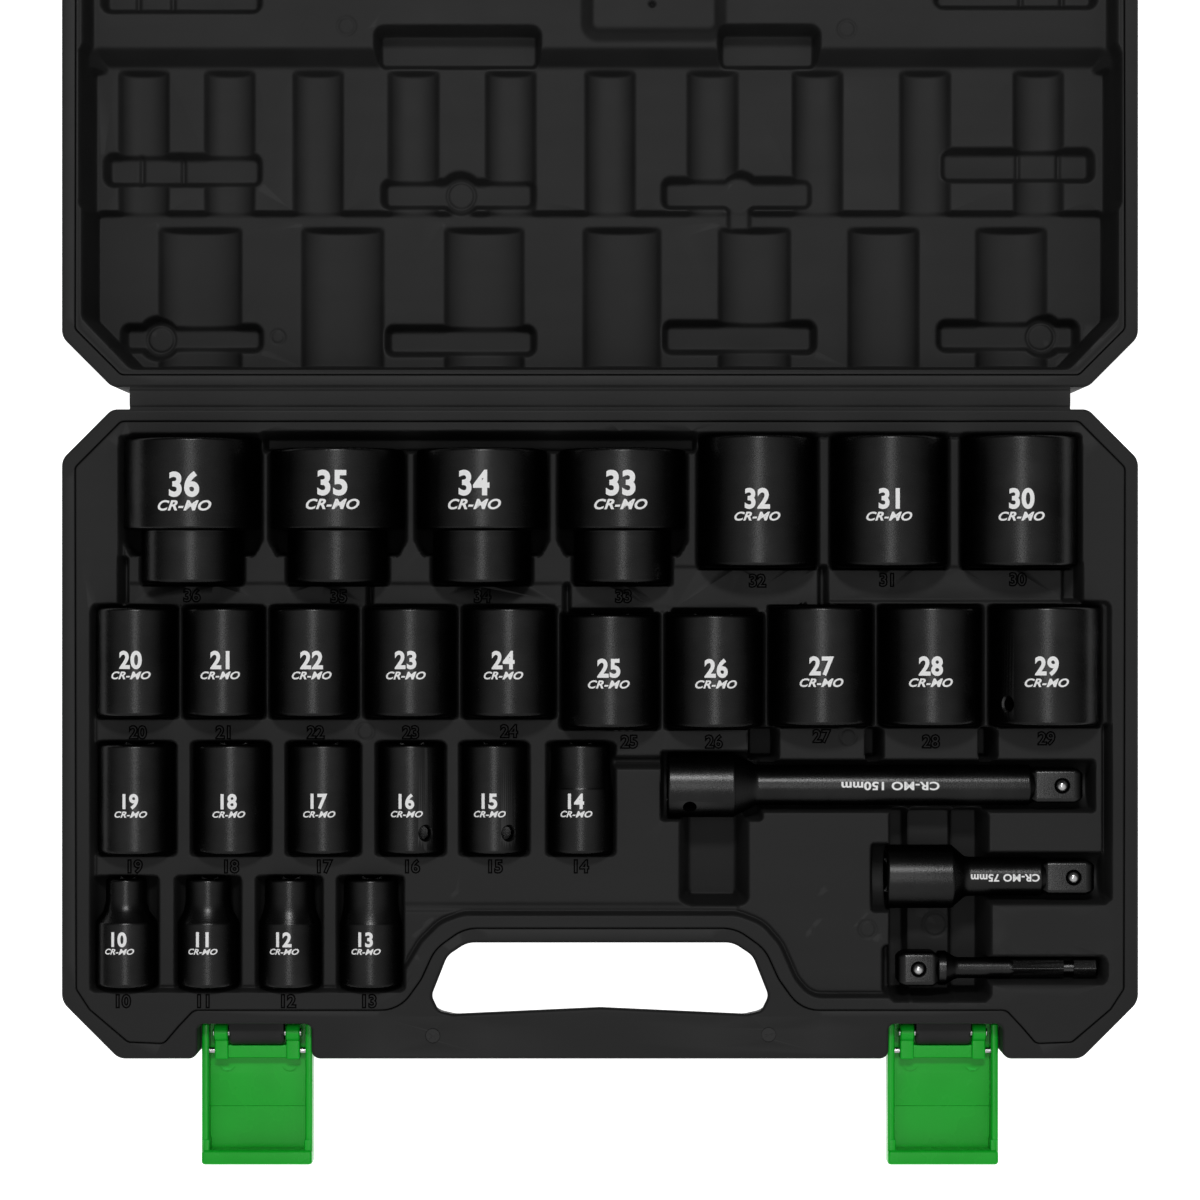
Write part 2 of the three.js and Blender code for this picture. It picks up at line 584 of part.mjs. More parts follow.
function placeSockets() {
  for (const row of SOCKET_ROWS) {
    const length = row.back - row.front;
    const stepAt = row.step ? row.step - row.front : undefined;
    for (const [size, x, diameter, driveDiameter, turn] of row.sockets) {
      const solid = socketSolid(size, diameter, driveDiameter, length, stepAt)
        .subtract(crossHole(diameter, turn));
      place(`socket_${size}`, solid, impactSteel(), [x, row.front, row.axisZ]);
    }
  }
}

// ---------------------------------------------------------------- extension bars and adapter

// A square bar along X with its four long edges broken.
function maleSquare(x0, x1) {
  const [flat, edge] = [MALE_SQUARE / 2 - MALE_CHAMFER, MALE_SQUARE / 2];
  return prismAlongX([
    [edge, -flat], [edge, flat], [flat, edge], [-flat, edge],
    [-edge, flat], [-edge, -flat], [-flat, -edge], [flat, -edge],
  ], x0, x1);
}

// The blind bore for the detent ball and its spring, down from the square's upper flat.
function ballBore(x) {
  const geometry = new THREE.CylinderGeometry(BALL_BORE_RADIUS, BALL_BORE_RADIUS, BALL_BORE_DEPTH, 12);
  geometry.rotateX(Math.PI / 2);
  geometry.translate(x, 0, MALE_SQUARE / 2 + CUT_OVER - BALL_BORE_DEPTH / 2);
  return toSolid(geometry);
}

// A body of revolution about X, given as [x, radius] from left to right.
function turned(profile, segments) {
  const solid = new THREE.LatheGeometry(profile.map(([x, r]) => new THREE.Vector2(r, x)), segments);
  solid.rotateZ(-Math.PI / 2);
  return toSolid(solid);
}

function extensionBar(bar) {
  const shankEnd = bar.length - BAR_SQUARE_LENGTH;
  const body = turned([
    [0, 0], [0, bar.headRadius - 1], [1, bar.headRadius], [bar.head, bar.headRadius],
    [bar.head + BAR_NECK, bar.shankRadius], [shankEnd, bar.shankRadius], [shankEnd + 1.5, 5.8],
    [shankEnd + 1.5, 0],
  ], SOCKET_SEGMENTS);
  const half = DRIVE_SQUARE / 2;
  const reach = bar.headRadius + CUT_OVER;
  const pinHole = new THREE.CylinderGeometry(CROSS_HOLE_RADIUS, CROSS_HOLE_RADIUS, reach, 8);
  pinHole.translate(CROSS_HOLE_FROM_END, -reach / 2, 0);
  pinHole.rotateX(THREE.MathUtils.degToRad(-50));
  return body
    .add(maleSquare(shankEnd, bar.length))
    .subtract(box(-CUT_OVER, DRIVE_DEPTH + 1, -half, half, -half, half))
    .subtract(toSolid(pinHole))
    .subtract(ballBore(bar.length - BALL_FROM_END));
}

function hexAdapter() {
  const hexRadius = ADAPTER.hexAcrossFlats / Math.sqrt(3);
  const hexagon = new THREE.CylinderGeometry(hexRadius, hexRadius, ADAPTER.length - ADAPTER.bodyEnd, 6);
  hexagon.rotateZ(Math.PI / 2);
  hexagon.translate((ADAPTER.length + ADAPTER.bodyEnd) / 2, 0, 0);
  const body = turned([
    [ADAPTER.square - 1, 0], [ADAPTER.square - 1, ADAPTER.coneRadius],
    [ADAPTER.square + 2, ADAPTER.coneRadius], [ADAPTER.square + ADAPTER.cone, ADAPTER.bodyRadius],
    [ADAPTER.bodyEnd, ADAPTER.bodyRadius],
    [ADAPTER.bodyEnd + CUT_OVER, hexRadius], [ADAPTER.bodyEnd + CUT_OVER, 0],
  ], 12);
  const [grooveStart, grooveEnd] = ADAPTER.groove;
  const ring = turned([
    [grooveStart, ADAPTER.grooveRadius], [grooveStart, 6], [grooveEnd, 6], [grooveEnd, ADAPTER.grooveRadius],
    [grooveStart, ADAPTER.grooveRadius],
  ], 12);
  return union([maleSquare(0, ADAPTER.square), body, toSolid(hexagon)])
    .subtract(ring)
    .subtract(ballBore(BALL_FROM_END));
}

class Coil extends THREE.Curve {
  constructor(radius, height, turns) {
    super();
    Object.assign(this, { radius, height, turns });
  }

  getPoint(t, target = new THREE.Vector3()) {
    const angle = 2 * Math.PI * this.turns * t;
    return target.set(this.radius * Math.cos(angle), this.radius * Math.sin(angle), this.height * t);
  }
}

// The spring fills the bore from its floor up to the ball.
function detentSpring() {
  const { radius, wire, turns, stepsPerTurn } = SPRING;
  const floorZ = MALE_SQUARE / 2 + CUT_OVER - BALL_BORE_DEPTH;
  const topZ = MALE_SQUARE / 2 + BALL_PROUD - 2 * BALL_RADIUS;
  const height = topZ - floorZ - 2 * wire;
  const section = shapeOf([[wire, 0], [0, wire], [-wire, 0], [0, -wire]]);
  const geometry = new THREE.ExtrudeGeometry(section, {
    steps: turns * stepsPerTurn,
    extrudePath: new Coil(radius, height, turns),
  });
  geometry.translate(0, 0, floorZ + wire + GAP / 2);
  return toSolid(geometry);
}

function detentBall() {
  const geometry = new THREE.SphereGeometry(BALL_RADIUS, 10, 6);
  geometry.translate(0, 0, MALE_SQUARE / 2 + BALL_PROUD - BALL_RADIUS);
  return toSolid(geometry);
}

function placeDetent(name, x, y, z) {
  place(`detent_ball_${name}`, detentBall(), brightSteel(), [x, y, z]);
  place(`detent_spring_${name}`, detentSpring(), brightSteel(), [x, y, z]);
}

// ---------------------------------------------------------------- the whole set

place('base_outer_shell', baseShell(), casePlastic());
placeTray();
place('lid_outer_shell', lidShell(), casePlastic(), [0, LID_FOLD_Y, 0], Math.PI);
place('lid_inner_liner', lidLiner(), casePlastic());
place('living_hinge', hingeWeb(), casePlastic());
placeLatch('left', -LATCH_X);
placeLatch('right', LATCH_X);
placeSockets();
for (const [name, bar] of [['150', BAR_150], ['75', BAR_75]]) {
  place(`extension_bar_${name}`, extensionBar(bar), impactSteel(), [bar.left, bar.y, bar.axisZ]);
  placeDetent(name, bar.left + bar.length - BALL_FROM_END, bar.y, bar.axisZ);
}
place('hex_adapter', hexAdapter(), impactSteel(), [ADAPTER.left, ADAPTER.y, ADAPTER.axisZ]);
placeDetent('adapter', ADAPTER.left + BALL_FROM_END, ADAPTER.y, ADAPTER.axisZ);

export default group;
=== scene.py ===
import math

import bmesh
import bpy
import numpy as np
from mathutils import Matrix, Vector


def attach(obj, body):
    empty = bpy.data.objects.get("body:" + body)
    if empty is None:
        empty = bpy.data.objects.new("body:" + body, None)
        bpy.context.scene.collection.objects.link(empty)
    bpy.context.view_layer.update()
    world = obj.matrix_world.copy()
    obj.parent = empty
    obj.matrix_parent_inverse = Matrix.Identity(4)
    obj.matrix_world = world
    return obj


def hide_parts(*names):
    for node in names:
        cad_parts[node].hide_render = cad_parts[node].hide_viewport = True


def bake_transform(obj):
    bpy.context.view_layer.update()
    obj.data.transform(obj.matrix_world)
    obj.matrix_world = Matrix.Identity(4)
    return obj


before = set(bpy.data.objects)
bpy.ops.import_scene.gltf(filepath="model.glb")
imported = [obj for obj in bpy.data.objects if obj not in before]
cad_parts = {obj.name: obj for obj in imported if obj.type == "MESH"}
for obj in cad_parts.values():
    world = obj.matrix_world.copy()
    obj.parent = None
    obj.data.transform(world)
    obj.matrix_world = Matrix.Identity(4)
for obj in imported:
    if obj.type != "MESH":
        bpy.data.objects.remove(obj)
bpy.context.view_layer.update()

# Everything is drawn in millimetres in the row frame and scaled to metres once, when it is finished.
MM = 0.001
scene = bpy.context.scene
Z_AXIS = Vector((0, 0, 1))

# ---------------------------------------------------------------- sizes, as in the CAD source

RIM_Z = 41.85
DECK_Z = 39.2
GAP = 0.3
SHELL_WALL = 2.5
SKIN_WALL = 2.0
CASE_HALF_WIDTH = 193.9
CASE_FRONT_Y = -119.2
CASE_BACK_Y = 114.8
FRONT_CHAMFER = 20.5
BACK_CHAMFER = 18
FOLD_Y = 237.6
HINGE_HALF_LENGTH = 169.4
SEAM_HALF = [
    (172.5, 110.6), (189.2, 93.9), (188.8, -94), (184, -101.4), (170, -113.3), (157, -113.8),
    (151.6, -107.5), (146.2, -101.8), (72.3, -101.8), (64.2, -90.5), (59.3, -79.8), (48.8, -72.3),
]
HANDLE_LEAN = 4.6
HANDLE_HALF = [(47.9, -77.4), (55, -82.1), (60.7, -96.5), (58, -102), (53, -103.1), (0.6, -100.7)]
DECK_OUTLINE = [
    (169, 105.7), (172.9, 101.8), (172.9, 45.4), (183.6, 45.4), (183.6, -61.8), (138.2, -61.8),
    (138.2, -92.7), (134, -96.7), (76, -96.7), (70.5, -90.5), (65, -78), (58.5, -70.5), (49.5, -67),
    (-49.5, -67), (-57.5, -70), (-64.5, -77), (-75, -94.6), (-183.2, -94.6), (-183.2, 43.7),
    (-173, 43.7), (-173, 101.8), (-169, 105.7),
]
LATCH_X = 124.45
NOTCH_HALF_WIDTH = 20.5
NOTCH_BACK_Y = -106.6
CASE_PIN = (-110.9, 31.0)
LINK_PIN = (-117.8, 29.0)
LUG_RADIUS = 4.2
LUG_HALF_WIDTH = 9.8

# Rows of sockets: back and front end, height of the axis, where the drive end steps down, the printed
# figure's height and place and the grade's width, and for each socket its size, x, diameter, drive-end
# diameter, turn of the cross hole, and turn of the printed figure.
ROWS = [
    dict(back=103.9, front=51.7, step=70.8, axis=39, mark_y=87.1, digit=9.2, mark=22.6,
         sockets=[(36, -147.1, 49, 36.4, 130, 0)]),
    dict(back=100.2, front=51.7, step=70.8, axis=39, mark_y=87.6, digit=9.2, mark=22.6, sockets=[
        (35, -94.7, 48.4, 36, -145, 0), (34, -42.6, 47, 35.4, 160, -5), (33, 8.1, 45.6, 35, 115, -2)]),
    dict(back=104.9, front=57.7, step=None, axis=39, mark_y=82.1, digit=7.5, mark=19.4, sockets=[
        (32, 56.9, 42.6, 42.6, -150, -3), (31, 104.4, 41.8, 41.8, 175, -5),
        (30, 151.4, 41.6, 41.6, 130, -5)]),
    dict(back=43.4, front=4, step=None, axis=39, mark_y=24.7, digit=6.6, mark=17, sockets=[
        (20, -167.2, 29.2, 29.2, 115, -1), (21, -135.8, 29.3, 29.3, -165, 1),
        (22, -103.3, 31.4, 31.4, 140, 2), (23, -68.4, 33, 33, 178, -3), (24, -32.8, 33.4, 33.4, -130, -6)]),
    dict(back=40.9, front=0.1, step=None, axis=39, mark_y=21.8, digit=6.9, mark=17.8, sockets=[
        (25, 3.7, 35.1, 35.1, 155, -2), (26, 41.3, 35.1, 35.1, -120, 0)]),
    dict(back=43.7, front=0.9, step=None, axis=39, mark_y=22.6, digit=7, mark=18.6, sockets=[
        (27, 79.7, 37.3, 37.3, 165, -3), (28, 119.2, 37, 37, -175, -5), (29, 160.7, 39.8, 39.8, -50, -6)]),
    dict(back=-5.7, front=-45.5, step=None, axis=37, mark_y=-26, digit=5.6, mark=14, sockets=[
        (19, -167.6, 27.7, 27.7, -160, -1), (18, -133.2, 27.4, 27.4, 170, 2),
        (17, -99.9, 25.6, 25.6, -140, -3), (16, -68.3, 23.6, 23.6, 30, -5),
        (15, -38.2, 23.6, 23.6, 28, -7), (14, -7, 21.4, 23.4, 165, -8)]),
    dict(back=-54.2, front=-93.6, step=None, axis=37, mark_y=-75.6, digit=5.4, mark=12.8, sockets=[
        (10, -171.2, 14.6, 22.2, 175, -6), (11, -141.5, 16.4, 22.2, -170, -5),
        (12, -112.1, 18, 22.4, 160, -6), (13, -82.8, 19.6, 22.6, -155, -6)]),
]
SLIM_TAPER = 15.5
DRIVE_SQUARE = 12.9
DRIVE_DEPTH = 15
CROSS_HOLE_RADIUS = 2.5
CROSS_HOLE_FROM_END = 8
POCKET_PLAY = 0.5
POCKET_END_PLAY = 0.4

MALE_SQUARE = 12.6
BAR_150 = dict(left=24.3, length=150, y=-20.9, axis=34, head=25, neck=7, head_radius=11.7, shank=7.4,
               pocket=9.2, hole=40, mark_x=104.6, mark=35.3, letter=3.1)
BAR_75 = dict(left=103.4, length=75, y=-54, axis=34, head=24.7, neck=4.4, head_radius=11.5, shank=7.1,
              pocket=8.6, hole=220, mark_x=146, mark=24.8, letter=2.8)
BAR_SQUARE = 18.5
ADAPTER = dict(left=107.2, y=-87, axis=35, square=15.6, cone=6.1, cone_radius=6.2, body_end=41.2, body=3.8,
               length=72.8, hexagon=6.35, groove=(60.9, 63.4), groove_radius=2.5)
BALL_RADIUS = 2.3
BALL_PROUD = 0.8
BALL_FROM_END = 7.6
BALL_BORE = (2.55, 9)

CELL = 0.45
SKIN_TRIANGLES = 150000

# ---------------------------------------------------------------- outlines


def mirrored(half):
    return list(half) + [(-x, y) for x, y in reversed(half)]


def anticlockwise(points):
    area = sum(a[0] * b[1] - b[0] * a[1] for a, b in zip(points, points[1:] + points[:1]))
    return list(points) if area > 0 else list(reversed(points))


def rounded(points, radius, steps=6):
    """The outline with each corner replaced by an arc. The radius is one number, or one for each corner."""
    radii = radius if hasattr(radius, "__len__") else [radius] * len(points)
    out = []
    for i, p in enumerate(points):
        p = Vector(p)
        before = Vector(points[i - 1]) - p
        after = Vector(points[(i + 1) % len(points)]) - p
        angle = before.angle(after, math.pi)
        if radii[i] <= 0 or angle > math.radians(176):
            out.append(tuple(p))
            continue
        reach = min(radii[i] / math.tan(angle / 2), 0.48 * before.length, 0.48 * after.length)
        start, end = p + before.normalized() * reach, p + after.normalized() * reach
        r = reach * math.tan(angle / 2)
        centre = p + (before.normalized() + after.normalized()).normalized() * (r / math.sin(angle / 2))
        a, b = start - centre, end - centre
        sweep = a.angle_signed(b)
        out += [tuple(centre + (Matrix.Rotation(-sweep * k / steps, 2) @ a)) for k in range(steps + 1)]
    return out


def offset(points, distance):
    """The outline moved outwards by a distance, with the same number of points."""
    side = 1 if sum(a[0] * b[1] - b[0] * a[1] for a, b in zip(points, points[1:] + points[:1])) > 0 else -1
    out = []
    for i, (x, y) in enumerate(points):
        px, py = points[i - 1]
        nx, ny = points[(i + 1) % len(points)]
        a = Vector((y - py, px - x)).normalized()
        b = Vector((ny - y, x - nx)).normalized()
        m = (a + b).normalized()
        reach = side * distance / max(0.3, m.dot(b))
        out.append((x + m.x * reach, y + m.y * reach))
    return out


def case_outline():
    def notch(side):
        x = LATCH_X
        return [(x + side * NOTCH_HALF_WIDTH, CASE_FRONT_Y), (x + side * NOTCH_HALF_WIDTH, NOTCH_BACK_Y),
                (x - side * NOTCH_HALF_WIDTH, NOTCH_BACK_Y), (x - side * NOTCH_HALF_WIDTH, CASE_FRONT_Y)]
    half = [
        (CASE_HALF_WIDTH - BACK_CHAMFER, CASE_BACK_Y), (CASE_HALF_WIDTH, CASE_BACK_Y - BACK_CHAMFER),
        (CASE_HALF_WIDTH, CASE_FRONT_Y + FRONT_CHAMFER), (CASE_HALF_WIDTH - FRONT_CHAMFER, CASE_FRONT_Y),
        *notch(1),
    ]
    radii = [5, 6, 7, 6, 3.2, 2.4, 2.4, 3.2]
    return anticlockwise(rounded(mirrored(half), radii + radii[::-1]))


SEAM = anticlockwise(rounded(mirrored(SEAM_HALF), [3.2] * 8 + [14] * 8 + [3.2] * 8))
HANDLE = anticlockwise(rounded(mirrored(HANDLE_HALF), [9, 7, 4, 3, 6, 0, 0, 6, 3, 4, 7, 9]))

# ---------------------------------------------------------------- meshes


def new_object(name, data):
    obj = bpy.data.objects.new(name, data)
    scene.collection.objects.link(obj)
    return obj


def mesh_from(name, bm):
    mesh = bpy.data.meshes.new(name)
    bm.to_mesh(mesh)
    bm.free()
    return mesh


def mesh_of(name, verts, faces):
    mesh = bpy.data.meshes.new(name)
    mesh.from_pydata([tuple(v) for v in verts], [], faces)
    mesh.validate()
    bm = bmesh.new()
    bm.from_mesh(mesh)
    bmesh.ops.recalc_face_normals(bm, faces=bm.faces)
    bm.to_mesh(mesh)
    bm.free()
    return new_object(name, mesh)


def read(items, field, width=1, kind=np.float64):
    """A field of all of a mesh's vertices, faces or loops, as an array."""
    out = np.zeros(len(items) * width, kind)
    items.foreach_get(field, out)
    return out.reshape(-1, width) if width > 1 else out


def mesh_from_curve(curve):
    obj = new_object("lettering", curve)
    depsgraph = bpy.context.evaluated_depsgraph_get()
    mesh = bpy.data.meshes.new_from_object(obj.evaluated_get(depsgraph), depsgraph=depsgraph)
    bpy.data.objects.remove(obj)
    return mesh


def loft(name, rings):
    """A closed solid through rings of points, all with the same number of points."""
    n = len(rings[0])
    verts = [p for ring in rings for p in ring]
    faces = [tuple(range(n)), tuple(range(len(verts) - n, len(verts)))]
    for k in range(len(rings) - 1):
        a, b = k * n, (k + 1) * n
        faces += [(a + i, a + (i + 1) % n, b + (i + 1) % n, b + i) for i in range(n)]
    return mesh_of(name, verts, faces)


def column(name, outline, levels):
    """An upright solid of an outline, given as (height, how far the outline is moved outwards)."""
    return loft(name, [[(x, y, z) for x, y in offset(outline, d)] for z, d in levels])


def quarter(radius, steps=4):
    """Depth and setback along a quarter round, from the flat face to the side."""
    return [(radius * (1 - math.cos(a)), radius * (1 - math.sin(a)))
            for a in (math.pi / 2 * k / steps for k in range(steps + 1))]


def soft_column(name, outline, z0, z1, bottom, top, steps=4):
    """An upright solid with rounded lower and upper edges."""
    levels = [(z0 + depth, -setback) for depth, setback in quarter(bottom, steps)] if bottom else [(z0, 0)]
    levels += [(z1 - depth, -setback) for depth, setback in reversed(quarter(top, steps))]
    return column(name, outline, levels)


def plug(name, start, end, radius, end_radius=None, segments=64, axis="Y"):
    """A round cutter between two places along an axis, straight or tapered."""
    last = radius if end_radius is None else end_radius
    return turned(name, [(start, 0), (start, radius), (end, last), (end, 0)], segments, axis)


def soft_box(name, x0, x1, y0, y1, z0, z1, radius=0.5, segments=3):
    bm = bmesh.new()
    bmesh.ops.create_cube(bm, size=1)
    bmesh.ops.scale(bm, vec=(x1 - x0, y1 - y0, z1 - z0), verts=bm.verts)
    bmesh.ops.translate(bm, vec=((x0 + x1) / 2, (y0 + y1) / 2, (z0 + z1) / 2), verts=bm.verts)
    if radius:
        bmesh.ops.bevel(bm, geom=bm.edges[:], offset=radius, segments=segments, profile=0.5, affect="EDGES",
                        clamp_overlap=True)
    return new_object(name, mesh_from(name, bm))


def turned(name, profile, segments=96, axis="Y"):
    """A body of revolution from (place along the axis, radius), closed on the axis at both ends."""
    rings = []
    for place, r in profile:
        ring = []
        for k in range(segments):
            a = 2 * math.pi * k / segments
            u, v = max(r, 1e-4) * math.cos(a), max(r, 1e-4) * math.sin(a)
            ring.append({"X": (place, u, v), "Y": (u, place, v), "Z": (u, v, place)}[axis])
        rings.append(ring)
    return loft(name, rings)


def arc(centre, radius, start, end, steps=4):
    """Points of an arc in the profile plane, angles in degrees from the axis direction."""
    return [(centre[0] + radius * math.cos(math.radians(start + (end - start) * k / steps)),
             centre[1] + radius * math.sin(math.radians(start + (end - start) * k / steps)))
            for k in range(steps + 1)]


def apply_modifiers(obj):
    dg = bpy.context.evaluated_depsgraph_get()
    mesh = bpy.data.meshes.new_from_object(obj.evaluated_get(dg), depsgraph=dg)
    old = obj.data
    obj.modifiers.clear()
    obj.data = mesh
    bpy.data.meshes.remove(old)
    return obj


def combine(obj, others, operation="DIFFERENCE"):
    for other in others:
        mod = obj.modifiers.new("join", "BOOLEAN")
        mod.operation = operation
        mod.solver = "MANIFOLD"
        mod.object = other
        apply_modifiers(obj)
        bpy.data.objects.remove(other)
    return obj


def sliced_flat(obj, xs, ys):
    """Cuts wide faces along upright planes, so that no face wraps round an opening."""
    bm = bmesh.new()
    bm.from_mesh(obj.data)
    for axis, places in ((Vector((1, 0, 0)), xs), (Vector((0, 1, 0)), ys)):
        for place in places:
            bmesh.ops.bisect_plane(bm, geom=bm.verts[:] + bm.edges[:] + bm.faces[:], dist=1e-4,
                                   plane_co=axis * place, plane_no=axis)
    bmesh.ops.triangulate(bm, faces=[f for f in bm.faces if len(f.verts) > 4])
    bm.to_mesh(obj.data)
    bm.free()
    return obj


def shade(obj, angle=32):
    obj.data.shade_smooth()
    obj.data.set_sharp_from_angle(angle=math.radians(angle))
    mod = obj.modifiers.new("normals", "WEIGHTED_NORMAL")
    mod.keep_sharp = True
    apply_modifiers(obj)
    return obj


def finish(obj, body, material, replaces=()):
    """Scales a piece to metres, gives it its material and puts it on its body."""
    obj.data.transform(Matrix.Scale(MM, 4))
    obj.data.materials.clear()
    obj.data.materials.append(material)
    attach(obj, body)
    if replaces:
        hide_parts(*replaces)
    return obj


def stretch(obj, material, replaces):
    """Finishes a piece that spans two bodies: scales it to metres, gives it its material, hides the part it
    replaces and fixes its place; nothing here makes its ends follow the bodies.
    """
    obj.data.transform(Matrix.Scale(MM, 4))
    obj.data.materials.append(material)
    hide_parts(replaces)
    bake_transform(obj)


# ---------------------------------------------------------------- materials


class Nodes:
    """A material's node tree, with short ways to add to it."""

    def __init__(self, name):
        self.material = bpy.data.materials.new(name)
        self.material.use_nodes = True
        self.tree = self.material.node_tree
        self.shader = self.tree.nodes["Principled BSDF"]
        self.coords = self.tree.nodes.new("ShaderNodeTexCoord").outputs["Object"]

    def add(self, kind, **inputs):
        node = self.tree.nodes.new(kind)
        for key, value in inputs.items():
            self.put(node.inputs[key.replace("_", " ")], value)
        return node

    def put(self, socket, value):
        if isinstance(value, bpy.types.NodeSocket):
            self.tree.links.new(value, socket)
        else:
            socket.default_value = value

    def scaled(self, x, y, z):
        node = self.tree.nodes.new("ShaderNodeMapping")
        self.put(node.inputs["Vector"], self.coords)
        node.inputs["Scale"].default_value = (x, y, z)
        return node.outputs["Vector"]

    def noise(self, vector, scale, detail=4, rough=0.55):
        node = self.add("ShaderNodeTexNoise", Vector=vector, Scale=scale, Detail=detail, Roughness=rough)
        return node.outputs["Fac"]

    def ramp(self, value, low, high, out_low, out_high):
        node = self.add("ShaderNodeMapRange", Value=value)
        node.inputs["From Min"].default_value = low
        node.inputs["From Max"].default_value = high
        node.inputs["To Min"].default_value = out_low
        node.inputs["To Max"].default_value = out_high
        return node.outputs["Result"]

    def blend(self, factor, a, b):
        node = self.tree.nodes.new("ShaderNodeMix")
        node.data_type = "RGBA"
        self.put(node.inputs["Factor"], factor)
        self.put(node.inputs["A"], a)
        self.put(node.inputs["B"], b)
        return node.outputs["Result"]

    def sum(self, a, b, weight):
        node = self.tree.nodes.new("ShaderNodeMath")
        node.operation = "MULTIPLY_ADD"
        self.put(node.inputs[0], b)
        self.put(node.inputs[1], weight)
        self.put(node.inputs[2], a)
        return node.outputs[0]

    def bump(self, height, strength, distance):
        node = self.add("ShaderNodeBump", Height=height, Strength=strength, Distance=distance)
        self.put(self.shader.inputs["Normal"], node.outputs["Normal"])

    def edge_wear(self, low=0.52, high=0.6):
        node = self.tree.nodes.new("ShaderNodeNewGeometry")
        return self.ramp(node.outputs["Pointiness"], low, high, 0.0, 1.0)


def grey(value):
    return (value, value, value, 1)


def plastic_material(name, shade):
    """Black blow-moulded polyethylene: satin, with a fine pebbled grain and faint flow marks."""
    m = Nodes(name)
    grain = m.noise(m.scaled(1, 1, 1), 2600, 3, 0.6)
    blotch = m.noise(m.scaled(1, 1, 1), 38, 5, 0.55)
    flow = m.noise(m.scaled(14, 120, 60), 1.0, 4, 0.5)
    # A shade factor below 1 darkens the colour, the lighter worn edges and the specular level; the tray's
    # figures use it as painted shade.
    tone = m.blend(m.ramp(blotch, 0.35, 0.68, 0.0, 1.0), grey(0.0125 * shade), grey(0.0155 * shade))
    worn = m.blend(m.edge_wear(), tone, grey(0.024 * shade))
    m.put(m.shader.inputs["Base Color"], worn)
    m.put(m.shader.inputs["Roughness"], m.sum(m.ramp(blotch, 0.3, 0.7, 0.5, 0.58), flow, 0.08))
    m.shader.inputs["Specular IOR Level"].default_value = 0.2 * shade
    m.bump(m.sum(grain, flow, 0.5), 0.22, 0.00012)
    return m.material


def latch_material():
    """Glossy green injection-moulded plastic."""
    m = Nodes("latch_plastic")
    cloud = m.noise(m.scaled(1, 1, 1), 60, 3, 0.5)
    ripple = m.noise(m.scaled(90, 35, 90), 1.0, 2, 0.4)
    colour = m.blend(m.ramp(cloud, 0.3, 0.7, 0.0, 1.0), (0.002, 0.38, 0.016, 1), (0.003, 0.43, 0.02, 1))
    m.put(m.shader.inputs["Base Color"], m.blend(m.edge_wear(0.55, 0.68), colour, (0.012, 0.5, 0.04, 1)))
    m.put(m.shader.inputs["Roughness"], m.ramp(cloud, 0.3, 0.7, 0.22, 0.32))
    m.shader.inputs["Specular IOR Level"].default_value = 0.25
    m.bump(ripple, 0.06, 0.0006)
    return m.material


def impact_material(name, along):
    """Black phosphated chrome-molybdenum steel: fine grit with turning marks round the axis."""
    m = Nodes(name)
    grit = m.noise(m.scaled(1, 1, 1), 2400, 2, 0.7)
    turning = m.noise(m.scaled(*[900 if a == along else 26 for a in "XYZ"]), 1.0, 3, 0.6)
    cloud = m.noise(m.scaled(1, 1, 1), 70, 4, 0.6)
    tone = m.blend(m.ramp(cloud, 0.3, 0.7, 0.0, 1.0), grey(0.026), grey(0.034))
    m.put(m.shader.inputs["Base Color"], m.blend(m.edge_wear(0.53, 0.62), tone, grey(0.07)))
    m.put(m.shader.inputs["Roughness"], m.sum(m.ramp(cloud, 0.3, 0.7, 0.18, 0.23), grit, 0.14))
    m.shader.inputs["Metallic"].default_value = 1.0
    m.shader.inputs["Specular Tint"].default_value = grey(0.2)
    m.bump(m.sum(grit, turning, 0.6), 0.3, 0.00011)
    return m.material


def steel_material():
    """Bright ground steel for the pins and detent balls."""
    m = Nodes("bright_steel")
    fine = m.noise(m.scaled(1, 1, 1), 1500, 3, 0.6)
    m.put(m.shader.inputs["Base Color"], m.blend(fine, grey(0.5), grey(0.66)))
    m.put(m.shader.inputs["Roughness"], m.ramp(fine, 0.3, 0.7, 0.14, 0.26))
    m.shader.inputs["Metallic"].default_value = 1.0
    m.bump(fine, 0.05, 0.00005)
    return m.material


def print_material():
    """White pad-printed ink, slightly uneven."""
    m = Nodes("white_print")
    fine = m.noise(m.scaled(1, 1, 1), 1800, 3, 0.7)
    m.put(m.shader.inputs["Base Color"], m.blend(m.ramp(fine, 0.25, 0.7, 0.0, 1.0), grey(0.84), grey(0.93)))
    m.put(m.shader.inputs["Roughness"], m.ramp(fine, 0.3, 0.7, 0.5, 0.65))
    m.bump(fine, 0.1, 0.00004)
    return m.material


def floor_material():
    m = Nodes("pale_floor")
    soft = m.noise(m.scaled(1, 1, 1), 2.2, 3, 0.5)
    m.put(m.shader.inputs["Base Color"], m.blend(soft, grey(0.83), grey(0.86)))
    m.put(m.shader.inputs["Roughness"], m.ramp(soft, 0.3, 0.7, 0.75, 0.85))
    m.shader.inputs["Emission Color"].default_value = (1, 1, 1, 1)
    m.shader.inputs["Emission Strength"].default_value = 1.15
    return m.material


PLASTIC = plastic_material("case_plastic", 1.0)
# The same plastic at 0.08 of its tone and specular level, near-black, for the tray's size figures: painted
# shade standing in for the shade along their raised outlines.
FIGURE_PAINTED_SHADE = plastic_material("case_plastic_figures_painted_shade", 0.08)
GREEN = latch_material()
IMPACT_Y = impact_material("impact_steel_sockets", "Y")
IMPACT_X = impact_material("impact_steel_bars", "X")
BRIGHT = steel_material()
INK = print_material()

# ---------------------------------------------------------------- moulded skins, as heights over the plan


